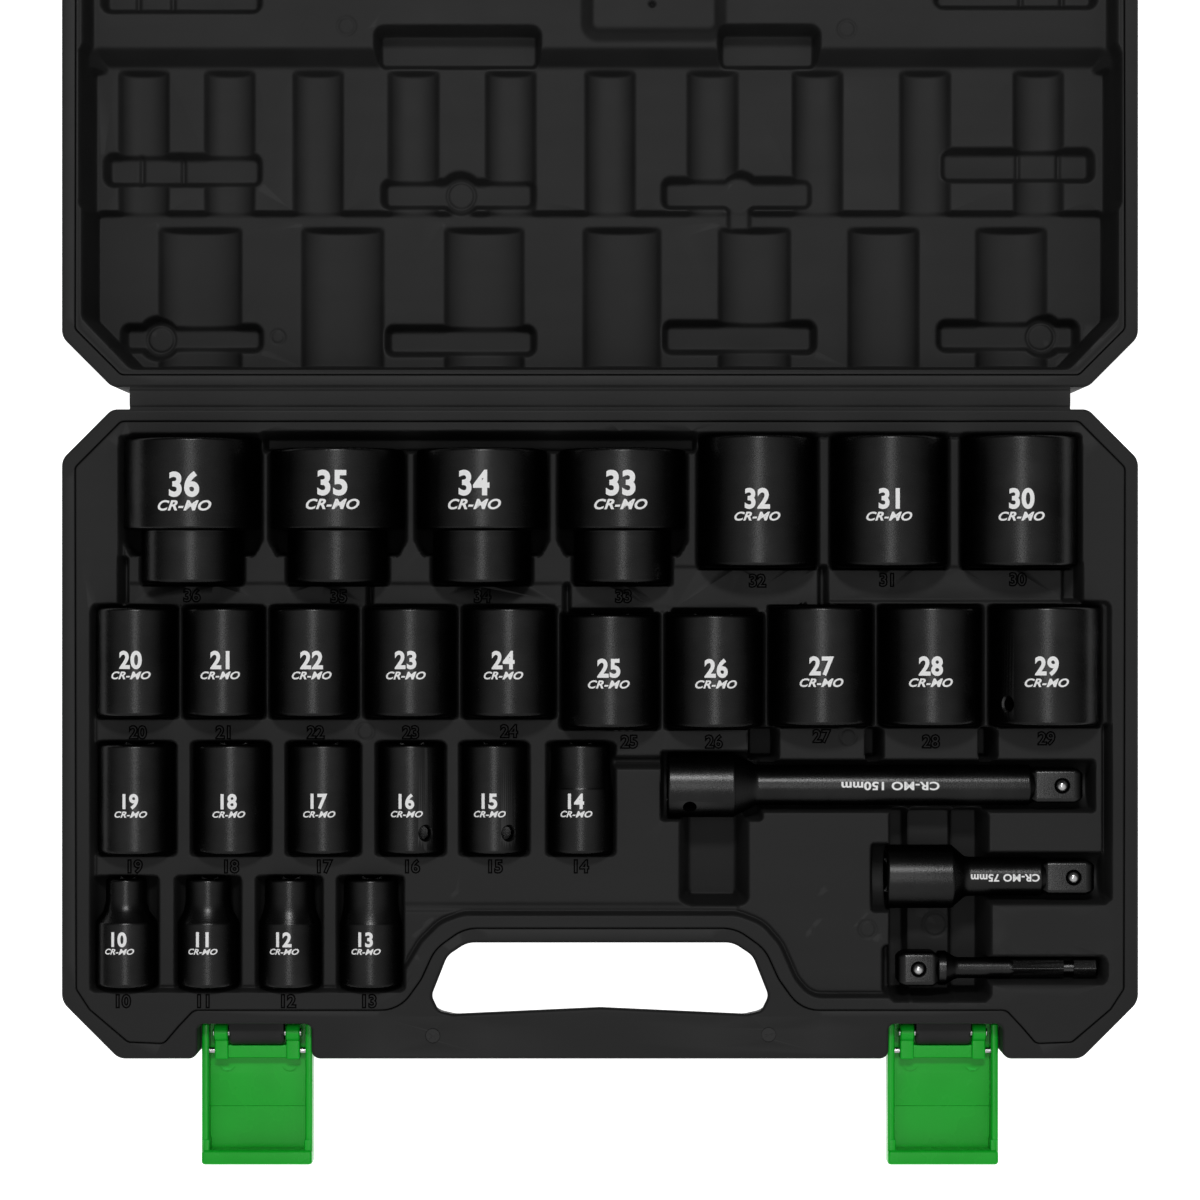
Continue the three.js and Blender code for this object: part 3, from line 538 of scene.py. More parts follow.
def polygon_distance(x, y, points):
    """Distance to an outline, negative inside it."""
    best = np.full(x.shape, 1e9)
    inside = np.zeros(x.shape, bool)
    for (ax, ay), (bx, by) in zip(points, points[1:] + points[:1]):
        ex, ey = bx - ax, by - ay
        t = np.clip(((x - ax) * ex + (y - ay) * ey) / (ex * ex + ey * ey + 1e-12), 0, 1)
        best = np.minimum(best, (x - ax - t * ex) ** 2 + (y - ay - t * ey) ** 2)
        crosses = ((ay > y) != (by > y)) & (x < ex * (y - ay) / (ey + 1e-12) + ax)
        inside ^= crosses
    return np.where(inside, -np.sqrt(best), np.sqrt(best))


def box_distance(x, y, x0, x1, y0, y1, corner):
    qx = np.abs(x - (x0 + x1) / 2) - (x1 - x0) / 2 + corner
    qy = np.abs(y - (y0 + y1) / 2) - (y1 - y0) / 2 + corner
    return np.hypot(np.maximum(qx, 0), np.maximum(qy, 0)) + np.minimum(np.maximum(qx, qy), 0) - corner


UNTOUCHED = 1e6


def round_over(d, radius):
    """How far a rounded edge has dropped, d outside the edge of the hollow."""
    s = np.clip(radius - d, 0, radius)
    return radius - np.sqrt(np.maximum(radius * radius - s * s, 0))


def wall_down(d, top, floor, over, under, draft):
    """Height across a hollow's edge: flat, rounded over, a drafted wall, a rounded foot, then the floor."""
    drop = np.maximum(top - floor, 1e-3)
    over = np.minimum(over, 0.45 * drop)
    under = np.minimum(under, 0.45 * drop)
    inner = np.clip(-d, 0, None)
    straight = np.clip(inner / draft, 0, 1)
    wall = (top - over) * (1 - straight) + (floor + under) * straight
    foot = np.clip(inner - draft, 0, under)
    wall = wall - np.sqrt(np.maximum(under * under - (under - foot) ** 2, 0))
    return np.where(d > over, UNTOUCHED, np.where(d > 0, top - round_over(d, over), wall))


class Relief:
    """A height field over the plan of one moulded skin."""

    def __init__(self, x0, x1, y0, y1, cell, level):
        self.cell = cell
        self.xs = np.arange(x0, x1 + cell, cell)
        self.ys = np.arange(y0, y1 + cell, cell)
        self.x, self.y = np.meshgrid(self.xs, self.ys)
        self.z = np.full(self.x.shape, float(level))

    def window(self, x0, x1, y0, y1, margin=3):
        i0, i1 = np.searchsorted(self.xs, [x0 - margin, x1 + margin])
        j0, j1 = np.searchsorted(self.ys, [y0 - margin, y1 + margin])
        part = (slice(j0, j1), slice(i0, i1))
        return part, self.x[part], self.y[part]

    def lower(self, part, z):
        self.z[part] = np.minimum(self.z[part], z)

    def sink(self, points, top, floor, over=1.0, under=1.0, draft=0.6):
        xs, ys = [p[0] for p in points], [p[1] for p in points]
        part, x, y = self.window(min(xs), max(xs), min(ys), max(ys))
        self.lower(part, wall_down(polygon_distance(x, y, points), top, floor, over, under, draft))

    def well(self, x0, x1, y0, y1, top, floor, corner=1.6, over=0.9, under=1.2, draft=0.6):
        part, x, y = self.window(x0, x1, y0, y1)
        d = box_distance(x, y, x0, x1, y0, y1, corner)
        self.lower(part, wall_down(d, top, floor, over, under, draft))

    def trough(self, centre, radius, start, end, axis, top, along="Y", cut=None):
        """A round-bottomed pocket, whose front corners can be cut off by (across, along)."""
        over, draft, under, corner = 0.6, 0.3, 0.9, 1.0
        low, high = centre - radius, centre + radius
        if along == "Y":
            part, x, y = self.window(low, high, start, end)
            across, length = x - centre, y
            d = box_distance(x, y, low, high, start, end, corner)
        else:
            part, x, y = self.window(start, end, low, high)
            across, length = y - centre, x
            d = box_distance(x, y, start, end, low, high, corner)
        if cut:
            shoulder = start + cut[1]
            d = polygon_distance(x, y, [(low + cut[0], start), (high - cut[0], start), (high, shoulder),
                                        (high, end), (low, end), (low, shoulder)])
        round_floor = axis - np.sqrt(np.maximum(radius * radius - across * across, 0))
        floor = np.minimum(round_floor, top - over)
        ends = -np.minimum(length - start, end - length)
        rise = wall_down(ends, top, floor, over, under, draft)
        inside = np.minimum(np.maximum(np.where(rise < UNTOUCHED, rise, top), floor), top - over)
        self.lower(part, np.where(d > over, UNTOUCHED, np.where(d > 0, top - round_over(d, over), inside)))

    def block(self, x0, x1, y0, y1, top, corner=2.0, draft=1.5, over=1.2):
        """A raised block with drafted walls."""
        part, x, y = self.window(x0, x1, y0, y1, draft + 3)
        d = box_distance(x, y, x0, x1, y0, y1, corner)
        z = self.z[part]
        s = np.clip(1 - d / draft, 0, 1)
        edge = top - round_over(np.clip(-d, 0, None), over)
        self.z[part] = np.where(d < 0, np.maximum(z, edge), np.maximum(z, z + (top - over - z) * s))

    def ring_mark(self, cx, cy, radius, depth=0.35, half_width=0.4):
        """The witness ring that a round insert or an ejector leaves."""
        part, x, y = self.window(cx - radius, cx + radius, cy - radius, cy + radius)
        self.z[part] -= depth * np.exp(-((np.hypot(x - cx, y - cy) - radius) / half_width) ** 2)

    def crease(self, points, depth, half_width):
        """A narrow channel along a closed outline."""
        xs, ys = [p[0] for p in points], [p[1] for p in points]
        part, x, y = self.window(min(xs), max(xs), min(ys), max(ys))
        self.z[part] -= depth * np.exp(-(polygon_distance(x, y, points) / half_width) ** 2)

    def blur(self, times=1):
        for _ in range(times):
            z = np.pad(self.z, 1, mode="edge")
            z = (z[:, :-2] + 2 * z[:, 1:-1] + z[:, 2:]) / 4
            self.z = (z[:-2] + 2 * z[1:-1] + z[2:]) / 4

    def sample(self, field, x, y):
        u = np.clip((x - self.xs[0]) / self.cell, 0, len(self.xs) - 1.001)
        v = np.clip((y - self.ys[0]) / self.cell, 0, len(self.ys) - 1.001)
        i, j = u.astype(int), v.astype(int)
        fu, fv = u - i, v - j
        return ((field[j, i] * (1 - fu) + field[j, i + 1] * fu) * (1 - fv)
                + (field[j + 1, i] * (1 - fu) + field[j + 1, i + 1] * fu) * fv)

    def under_side(self, wall):
        reach = int(math.ceil(wall / self.cell))
        low = self.z.copy()
        for axis in (0, 1):
            padded = np.pad(low, [(reach, reach) if a == axis else (0, 0) for a in (0, 1)], mode="edge")
            n = low.shape[axis]
            low = np.min([np.take(padded, range(k, k + n), axis=axis) for k in range(2 * reach + 1)], axis=0)
        return low - wall

    def solid(self, name, wall, triangles):
        """A closed mesh: the fine upper face, a coarser lower face and the sides between them."""
        stride = 4
        rows = (self.z.shape[0] - 1) // stride * stride + 1
        cols = (self.z.shape[1] - 1) // stride * stride + 1
        under = self.under_side(wall)[:rows:stride, :cols:stride]
        top = np.stack([self.x[:rows, :cols], self.y[:rows, :cols], self.z[:rows, :cols]], -1).reshape(-1, 3)
        low = np.stack([self.x[:rows:stride, :cols:stride], self.y[:rows:stride, :cols:stride], under], -1)
        m, n = low.shape[:2]
        low = low.reshape(-1, 3)
        ids = np.arange(rows * cols).reshape(rows, cols)
        base = rows * cols
        lows = base + np.arange(m * n).reshape(m, n)
        faces = []
        for grid, flip in ((ids, False), (lows, True)):
            corners = grid[:-1, :-1], grid[:-1, 1:], grid[1:, 1:], grid[1:, :-1]
            a, b, c, d = (corner.ravel() for corner in corners)
            pair = ((a, c, b), (a, d, c)) if flip else ((a, b, c), (a, c, d))
            faces += [np.stack(tri, 1) for tri in pair]
        for fine, coarse, flip in ((ids[0], lows[0], False), (ids[-1], lows[-1], True),
                                   (ids[:, 0], lows[:, 0], True), (ids[:, -1], lows[:, -1], False)):
            owner = coarse[np.arange(len(fine) - 1) // stride]
            side = [np.stack([fine[:-1], owner, fine[1:]], 1),
                    np.stack([coarse[:-1], coarse[1:], fine[stride::stride]], 1)]
            faces += [s[:, ::-1] if flip else s for s in side]
        verts = np.concatenate([top, low])
        tris = np.concatenate(faces)
        mesh = bpy.data.meshes.new(name)
        mesh.vertices.add(len(verts))
        mesh.vertices.foreach_set("co", verts.astype(np.float32).ravel())
        mesh.loops.add(3 * len(tris))
        mesh.loops.foreach_set("vertex_index", tris.astype(np.int32).ravel())
        mesh.polygons.add(len(tris))
        mesh.polygons.foreach_set("loop_start", np.arange(0, 3 * len(tris), 3, dtype=np.int32))
        mesh.update(calc_edges=True)
        obj = new_object(name, mesh)
        if len(tris) > triangles:
            mod = obj.modifiers.new("thin", "DECIMATE")
            mod.ratio = triangles / len(tris)
            apply_modifiers(obj)
        return obj

    def level(self, x, y):
        return float(self.sample(self.z, np.array([x]), np.array([y]))[0])

    def shade(self, obj, outline, rim):
        """Smooth shading of the upper face straight from the height field; the rest keeps its own."""
        gy, gx = np.gradient(self.z, self.cell)
        mesh = obj.data
        mesh.shade_smooth()
        mesh.set_sharp_from_angle(angle=math.radians(35))
        co, faces = read(mesh.vertices, "co", 3), mesh.polygons
        face_n, centre = read(faces, "normal", 3), read(faces, "center", 3)
        totals = read(faces, "loop_total", kind=np.int32)
        verts = read(mesh.loops, "vertex_index", kind=np.int32)
        owner = np.repeat(np.arange(len(faces)), totals)
        inwards = centre[owner, :2] - co[verts, :2]
        reach = np.hypot(inwards[:, 0], inwards[:, 1])[:, None]
        spot = co[verts, :2] + inwards * np.minimum(0.5, 0.7 / np.maximum(reach, 1e-6))
        slopes = [-self.sample(field, spot[:, 0], spot[:, 1]) for field in (gx, gy)]
        normals = np.stack(slopes + [np.ones(len(verts))], 1)
        normals /= np.linalg.norm(normals, axis=1, keepdims=True)
        agrees = (normals * face_n[owner]).sum(1)
        far_in = polygon_distance(centre[:, 0], centre[:, 1], outline) < -rim
        mean = np.zeros(len(faces))
        np.add.at(mean, owner, agrees)
        good = (mean / totals > 0.55) & far_in & (face_n[:, 2] > 0.001)
        custom = np.where(good[owner][:, None], normals, 0.0)
        mesh.normals_split_custom_set([tuple(v) for v in custom])
        return obj


def skin(name, relief, outline, edge=0.6):
    """Cuts the relief to the seam's outline, with the outline's upper edge rounded."""
    obj = relief.solid(name, SKIN_WALL, SKIN_TRIANGLES)
    cutter = soft_column(name + "_cut", outline, 0, RIM_Z, 0, edge)
    combine(obj, [cutter], "INTERSECT")
    return relief.shade(obj, outline, edge + 0.1)


# ---------------------------------------------------------------- the base's tray


LOW_PANELS = [
    (-170.4, -83.9, 43.6, 52.2), (-82.3, -13, 43.6, 52.2), (-10.8, 27, 41.6, 52.2), (26, 79, 41.6, 58.3),
    (82, 172, 45.5, 58.3),
]
PANEL_SLOTS = [
    (-84.1, -82.1, 43, 52.4), (-13.1, -10.7, 40, 52), (78.9, 82.1, 43, 58.3), (-173, -170.5, 44.5, 61.6),
    (167, 172.9, 45.6, 60.5), (181.6, 183.6, -61.6, 1.4),
]
SOCKET_GAPS = [(53.8, 64.1), (96.1, 101.9), (137, 142.9)]


def tray_relief():
    r = Relief(-192, 192, -117, 114, CELL, RIM_Z)
    curves = [14 if y < -66 and 49 < abs(x) < 77 else 2 for x, y in DECK_OUTLINE]
    deck = anticlockwise(rounded(DECK_OUTLINE, curves, 6))
    r.sink(deck, RIM_Z, DECK_Z, over=0.6, under=0.4, draft=0.3)
    r.crease(offset(deck, -0.7), 1.3, 0.5)
    step = dict(over=0.3, under=0.3, draft=0.3)
    for panel in LOW_PANELS:
        r.well(*panel, DECK_Z, DECK_Z - 0.9, corner=0.8, **step)
    r.well(-71.3, 50, -66.4, -63.4, DECK_Z, DECK_Z - 0.7, corner=0.5, **step)
    for row in ROWS:
        for _, x, wide, drive, *_ in row["sockets"]:
            radius = max(wide, drive) / 2 + POCKET_PLAY
            front, back = row["front"] - POCKET_END_PLAY, row["back"] + POCKET_END_PLAY
            if row["step"]:
                r.trough(x, radius, row["step"] - 8.6, back, row["axis"], DECK_Z, cut=(3.2, 5.5))
                r.trough(x, drive / 2 + POCKET_PLAY, front, row["step"], row["axis"], DECK_Z)
            else:
                r.trough(x, radius, front, back, row["axis"], DECK_Z)
    for x in (3.7, 41.3):
        r.well(x - 15.3, x + 15.3, 38, 42.8, DECK_Z, 30, corner=0.8)
    for bar, past in ((BAR_150, 2), (BAR_75, 5.2)):
        left, y, axis = bar["left"], bar["y"], bar["axis"]
        right = left + bar["length"]
        r.trough(y, bar["head_radius"] + POCKET_PLAY, left - past, left + bar["head"] + 9, axis, DECK_Z, "X")
        r.trough(y, bar["pocket"], left, right + 4, axis, DECK_Z, "X")
    left, y, right = ADAPTER["left"], ADAPTER["y"], ADAPTER["left"] + ADAPTER["length"]
    r.well(left - 5, left + 2, y - 8.8, y + 8.3, DECK_Z, 28, corner=1.5)
    r.well(left, left + 26, y - 8.8, y + 8.3, DECK_Z, 26, corner=2)
    r.well(left, right + 1.5, y - 4.2, y + 4.2, DECK_Z, 29)
    r.well(-122, 35, 99.5, 105.7, DECK_Z, 27)
    r.well(29, 53.3, -63.6, -30, DECK_Z, 16, corner=3, under=2, draft=2.8)
    r.well(31.8, 50.6, -63.4, -30, DECK_Z - 2, 16, corner=2, draft=0.6)
    r.well(104.8, 112.6, -97.6, -29.4, DECK_Z, 13, corner=2.5, under=1.5, draft=0.8)
    r.well(111.4, 129, -97.6, -29.4, DECK_Z, 20, corner=2.5, under=1.2, draft=0.6)
    r.well(127.4, 139.8, -97.6, -29.4, DECK_Z, 13, corner=2.5, under=1.5, draft=0.8)
    r.well(3.2, 25, -14.4, -10.4, DECK_Z, 33, corner=0.8)
    for slot in PANEL_SLOTS:
        r.well(*slot, DECK_Z, 32, corner=0.7, draft=0.3, over=0.5)
    for x0, x1 in SOCKET_GAPS:
        r.well(x0, x1, -12, 0, DECK_Z, 12, draft=0.4)
    r.blur(1)
    for x, y, radius in ((-84.7, -1.4, 3), (96.6, -72.7, 3), (122.8, -72.7, 4.3), (89.6, -3.2, 2.8)):
        r.ring_mark(x, y, radius)
    return r


def build_tray():
    relief = tray_relief()
    obj = skin("base_tray_skin", relief, offset(SEAM, -GAP))
    regions = [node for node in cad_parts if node.startswith("base_tray_")]
    finish(obj, "base_half", PLASTIC, regions)
    return relief


# ---------------------------------------------------------------- the lid's liner

LANDING_Z = 29.9
TERRACE_Z = 19.9
LOW_TERRACE_Z = 14.9
LINER_HALF_WIDTH = 185.8
LANDING_HALF = [(LINER_HALF_WIDTH, 240), (LINER_HALF_WIDTH, 330.5), (177, 335.5), (76, 335.5), (69.5, 329),
                (62, 313.5), (50.5, 306.8)]
LOW_TERRACE = [(LINER_HALF_WIDTH, 188.5), (LINER_HALF_WIDTH, 148), (168.6, 130), (-168.6, 130),
               (-LINER_HALF_WIDTH, 148), (-LINER_HALF_WIDTH, 188.5)]
SHALLOW_SLOTS = [
    (-181.5, -124.5, 198, 209.5, TERRACE_Z), (-79.8, -24, 189.6, 200.2, TERRACE_Z),
    (23, 78, 189.6, 200.8, TERRACE_Z), (125.2, 180.8, 199.6, 211.4, TERRACE_Z),
    (-176, -124.5, 137.6, 147.3, LOW_TERRACE_Z), (-78.8, -24, 136.2, 146.9, LOW_TERRACE_Z),
    (23.4, 79.2, 137, 148.6, LOW_TERRACE_Z), (124.4, 176, 137.8, 148.8, LOW_TERRACE_Z),
    (-181, -123.5, 260, 280, LANDING_Z), (-81.6, -22, 240.6, 254.5, TERRACE_Z + 3),
    (43.4, 79.6, 240.6, 254.8, TERRACE_Z + 3), (121.8, 180.4, 261.5, 280, LANDING_Z),
]
SLOT_DEPTH = 6.5
BOSS_RADIUS = 7.8
SLOT_BOSSES = [(-51.1, 194.9, TERRACE_Z, True), (51.1, 195.2, TERRACE_Z, False),
               (-162.3, 142.4, LOW_TERRACE_Z, True), (163, 143.3, LOW_TERRACE_Z, True)]
SLOT_EDGES = dict(over=0.9, under=1.2, draft=0.8)
SLOT_STEPS = [(-168.6, 198.4, 209.1), (-153.4, 198.4, 209.1), (153.8, 200, 211), (168.8, 200, 211),
              (-168.6, 260.4, 279.6), (-156, 260.4, 279.6), (153.8, 262, 279.6), (168.8, 262, 279.6)]
HOLDING_PAD = (-3.4, 42.4, 252.6, 302)


def liner_relief():
    r = Relief(-192, 192, 124, 355, CELL, RIM_Z)
    low_terrace = anticlockwise(rounded(LOW_TERRACE, 3, 4))
    r.sink(anticlockwise(rounded(mirrored(LANDING_HALF), 4, 4)), RIM_Z, LANDING_Z, 0.8, 1.2, 0.8)
    r.well(-LINER_HALF_WIDTH, LINER_HALF_WIDTH, 186.5, 246.6, LANDING_Z + 1, TERRACE_Z, 4, 1.2, 1.6, 4.6)
    r.well(-LINER_HALF_WIDTH, LINER_HALF_WIDTH, 184, 240, RIM_Z, TERRACE_Z, 2, 0.5, 0.5, 0.5)
    r.sink(low_terrace, RIM_Z, LOW_TERRACE_Z, 0.5, 0.5, 0.6)
    for row in ROWS:
        for _, x, wide, *_ in row["sockets"]:
            if row["front"] > 50:
                arched(r, x, 0.61 * wide, 5, 130.6, 183, LOW_TERRACE_Z)
            elif row["front"] > -1:
                arched(r, x, 17.8, 4.4, 186.5, 240, TERRACE_Z)
    for x0, x1, y0, y1, level in SHALLOW_SLOTS:
        top = LANDING_Z if y0 > 236 else level
        r.well(x0, x1, y0, y1, top, level - SLOT_DEPTH, 3, **SLOT_EDGES)
    for x, y, level, _ in SLOT_BOSSES:
        r.well(x - BOSS_RADIUS, x + BOSS_RADIUS, y - BOSS_RADIUS, y + BOSS_RADIUS, level, level - SLOT_DEPTH,
               BOSS_RADIUS, **SLOT_EDGES)
    r.well(46.4, 56, 180, 190, LOW_TERRACE_Z + 5, LOW_TERRACE_Z - 1.6, 1, **SLOT_EDGES)
    r.block(*HOLDING_PAD, 34.6, corner=3, draft=3.4)
    r.crease(anticlockwise([(x, FOLD_Y - y) for x, y in offset(SEAM, -1.1)]), 0.5, 0.3)
    for x, y0, y1 in SLOT_STEPS:
        part, gx, gy = r.window(x, x, y0, y1)
        inside = (gy > y0) & (gy < y1)
        r.z[part] -= np.where(inside, 1.6 * np.exp(-((gx - x) / 0.45) ** 2), 0.0)
    r.blur(2)
    for x, y, _, raised in SLOT_BOSSES:
        if raised:
            r.ring_mark(x, y, 5.0, 0.5, 0.45)
    for x, y, radius in ((-118.6, 142.9, 2.5), (-92.2, 254.8, 3.2), (89.8, 253.7, 3.1)):
        r.ring_mark(x, y, radius, 0.3)
    r.ring_mark(18.9, 262, 0.1, 2.2, 0.8)
    return r


def arched(r, x, chord, depth, y0, y1, floor):
    """A shallow round-bottomed groove sunk in a flat floor."""
    part, gx, gy = r.window(x - chord / 2, x + chord / 2, y0, y1)
    across = np.clip(np.abs(gx - x) / (chord / 2), 0, 1)
    ends = np.clip(np.minimum(gy - y0, y1 - gy) / 1.4, 0, 1)
    ends = ends * ends * (3 - 2 * ends)
    bottom = floor - depth * np.sqrt(1 - across ** 2.6) * ends
    r.lower(part, np.where(ends * (1 - across) > 0, bottom, UNTOUCHED))


def build_liner():
    relief = liner_relief()
    outline = anticlockwise([(x, FOLD_Y - y) for x, y in offset(SEAM, -GAP)])
    obj = skin("lid_liner_skin", relief, outline)
    return finish(obj, "lid_half", PLASTIC, ["lid_inner_liner"])


# ---------------------------------------------------------------- the two shells


def half_shell(name):
    outline = case_outline()
    walls = soft_column(name, outline, 0, RIM_Z, 2.9, 1.1, 5)
    inside = offset(outline, -SHELL_WALL)
    cavity = column(name + "_cavity", inside, [(SHELL_WALL, 0), (RIM_Z - SHELL_WALL, 0)])
    grip = column(name + "_grip", offset(HANDLE, SHELL_WALL), [(0, HANDLE_LEAN), (RIM_Z, 0)])
    combine(cavity, [grip])
    flare = [(RIM_Z - depth, setback) for depth, setback in reversed(quarter(0.5, 3))]
    mouth = column(name + "_mouth", SEAM, [(RIM_Z - SHELL_WALL - 1, 0)] + flare + [(RIM_Z + 2, 0.5)])
    foot = [(depth, HANDLE_LEAN + setback) for depth, setback in quarter(1.5, 4)]
    top = [(RIM_Z - depth, setback) for depth, setback in reversed(quarter(1.4, 5))]
    levels = [(-2, HANDLE_LEAN + 1.5)] + foot + top + [(RIM_Z + 2, 1.4)]
    opening = column(name + "_opening", HANDLE, levels)
    return combine(walls, [cavity, mouth, opening])


def pin_along_x(name, radius, x0, x1, y, z, segments=48, edge=0.3):
    profile = [(x0, 0), (x0, radius - edge), (x0 + edge, radius),
               (x1 - edge, radius), (x1, radius - edge), (x1, 0)]
    obj = turned(name, profile, segments, "X")
    obj.data.transform(Matrix.Translation((0, y, z)))
    return obj


def pin_along_z(name, radius, x, y, z0, z1):
    obj = plug(name, z0, z1, radius, segments=48, axis="Z")
    obj.data.transform(Matrix.Translation((x, y, 0)))
    return obj


SHELL_CUTS_X = [-160, -120, -80, -40, 0, 40, 80, 120, 160]
SHELL_CUTS_Y = [-104, -84, -60, -20, 20, 60, 90]
RIM_MARKS = [(-60.2, -110.8), (60.7, -110.4)]


def build_shells():
    base = half_shell("base_shell_skin")
    for x in (-LATCH_X, LATCH_X):
        y, z = CASE_PIN
        nose = pin_along_x("nose", LUG_RADIUS, x - LUG_HALF_WIDTH, x + LUG_HALF_WIDTH, y, z, 48, 0.7)
        web = soft_box("web", x - LUG_HALF_WIDTH, x + LUG_HALF_WIDTH, y, NOTCH_BACK_Y + 1.2, z - LUG_RADIUS,
                       z + LUG_RADIUS, 0)
        combine(base, [nose, web], "UNION")
        reach = LUG_HALF_WIDTH + 5
        combine(base, [pin_along_x("hole", CASE_PIN_RADIUS + PIN_PLAY, x - reach, x + reach, y, z, 32, 0.1)])
    for x, y in RIM_MARKS:
        combine(base, [pin_along_z("mark", 2.75, x, y, RIM_Z - 0.45, RIM_Z + 1)])
        combine(base, [pin_along_z("plug", 2.45, x, y, RIM_Z - 1, RIM_Z - 0.06)], "UNION")
    shade(sliced_flat(base, SHELL_CUTS_X, SHELL_CUTS_Y), 30)
    finish(base, "base_half", PLASTIC, ["base_outer_shell"])
    lid = half_shell("lid_shell_skin")
    for x in (-LATCH_X, LATCH_X):
        ridge = soft_box("ridge", x - 16, x + 16, -112.5, NOTCH_BACK_Y + 1.2, 12.9, 16.7, 0.7)
        combine(lid, [ridge], "UNION")
    sliced_flat(lid, SHELL_CUTS_X, SHELL_CUTS_Y)
    lid.data.transform(Matrix.Translation((0, FOLD_Y, 0)) @ Matrix.Rotation(math.pi, 4, "Z"))
    shade(lid, 30)
    finish(lid, "lid_half", PLASTIC, ["lid_outer_shell"])


def build_hinge():
    """The moulded strip between the halves: a shallow crown with a fold line each side."""
    near, far = CASE_BACK_Y - 0.7, FOLD_Y - CASE_BACK_Y + 0.7
    top = []
    for k in range(25):
        t = k / 24
        y = near + (far - near) * t
        crown = 0.35 * math.sin(math.pi * t)
        creases = 0.55 * (math.exp(-((t - 0.14) / 0.05) ** 2) + math.exp(-((t - 0.86) / 0.05) ** 2))
        top.append((y, RIM_Z - 0.55 + crown - creases))
    section = top + [(y, RIM_Z - 1.4) for y, _ in reversed(top)]
    places = [-HINGE_HALF_LENGTH + 2 * HINGE_HALF_LENGTH * k / 60 for k in range(61)]
    obj = loft("hinge_strip", [[(x, y, z) for y, z in section] for x in places])
    shade(obj, 60)
    stretch(obj, PLASTIC, "living_hinge")


# ---------------------------------------------------------------- latches


LINK_HALF_WIDTH = 15.5
LEVER_HALF_WIDTH = 20.1
CASE_PIN_RADIUS = 1.5
LINK_PIN_RADIUS = 1.2
PIN_PLAY = 0.25


def build_latch(side, x):
    name = f"latch_{side}"
    y, z = CASE_PIN
    half = LINK_HALF_WIDTH
    link = soft_box(f"{name}_link_body", x - half, x + half, y - 9.4, y - 4.7, z - 4.4, z - 0.3, 0.5)
    arms = []
    for s in (-1, 1):
        x0, x1 = sorted((x + s * (half - 5), x + s * half))
        arms.append(pin_along_x("arm", 3.2, x0, x1, y, z, 40, 0.4))
        arms.append(soft_box("arm_web", x0, x1, y - 9.8, y, z - 4.2, z + 0.9, 0.7))
    combine(link, arms, "UNION")
    combine(link, [pin_along_x("hole", CASE_PIN_RADIUS + PIN_PLAY, x - 18, x + 18, y, z, 32, 0.1),
                   pin_along_x("hole", LINK_PIN_RADIUS + PIN_PLAY, x - 18, x + 18, *LINK_PIN, 32, 0.1)])
    shade(link, 32)
    finish(link, f"{name}_link", GREEN, [f"{name}_link"])

    half, wall, near, far, low = LEVER_HALF_WIDTH, 2.6, y + 3.3, y - 47.9, z - 7.7
    parts = []
    for s in (-1, 1):
        x0, x1 = sorted((x + s * half, x + s * (half - wall)))
        parts.append(soft_box("cheek", x0, x1, far, near, low, z + 1.5, 0.9, 4))
        parts.append(soft_box("stop", x0 - s * 0.4, x1 - s * 0.4, far + 3, far + 9.2, low + 1, z + 1.9, 0.7))
    parts.append(soft_box("lip", x - half, x + half, far, far + 5.4, low, z + 2.75, 1.3, 4))
    bend, inner = far + 20.2, half - 1
    section = [(near - 0.6, low + 1), (far + 2, low + 1), (far + 2, low + 2.2), (bend, low + 2.2),
               (bend + 0.3, low + 2.7), (near - 19, low + 3.1), (near - 15, low + 2.3),
               (near - 0.6, low + 2.2)]
    parts.append(loft("panel", [[(u, v, w) for v, w in section] for u in (x - inner, x + inner)]))
    lever = soft_box(f"{name}_lever_body", x - half, x + half, far, near, low, low + 2.0, 0.9)
    combine(lever, parts, "UNION")
    rings = []
    for mark_x in (x - 11.4, x + 11.4):
        ring = pin_along_z("ring", 3.3, mark_x, far + 36.2, low + 2.55, low + 6)
        rings.append(combine(ring, [pin_along_z("core", 2.8, mark_x, far + 36.2, low + 2, low + 7)]))
    combine(lever, rings)
    reach = half + 2
    combine(lever, [pin_along_x("hole", LINK_PIN_RADIUS + PIN_PLAY, x - reach, x + reach, *LINK_PIN, 32, 0.1)])
    shade(lever, 20)
    finish(lever, f"{name}_lever", GREEN, [f"{name}_lever"])

    for pin, radius, reach, place, body in (
            ("case_pin", CASE_PIN_RADIUS, 16.2, CASE_PIN, "base_half"),
            ("link_pin", LINK_PIN_RADIUS, 19.3, LINK_PIN, f"{name}_link")):
        obj = shade(pin_along_x(f"{name}_{pin}_body", radius, x - reach, x + reach, *place))
        finish(obj, body, BRIGHT, [f"{name}_{pin}"])


# ---------------------------------------------------------------- sockets


def prism_along_y(name, points, y0, y1):
    return loft(name, [[(x, y, z) for x, z in points] for y in (y0, y1)])


def regular(radius, sides, turn=0.0):
    angles = [2 * math.pi * k / sides + turn for k in range(sides)]
    return [(radius * math.cos(a), radius * math.sin(a)) for a in angles]


def square_points(half, corner, steps=4):
    return rounded([(-half, -half), (half, -half), (half, half), (-half, half)], corner, steps)


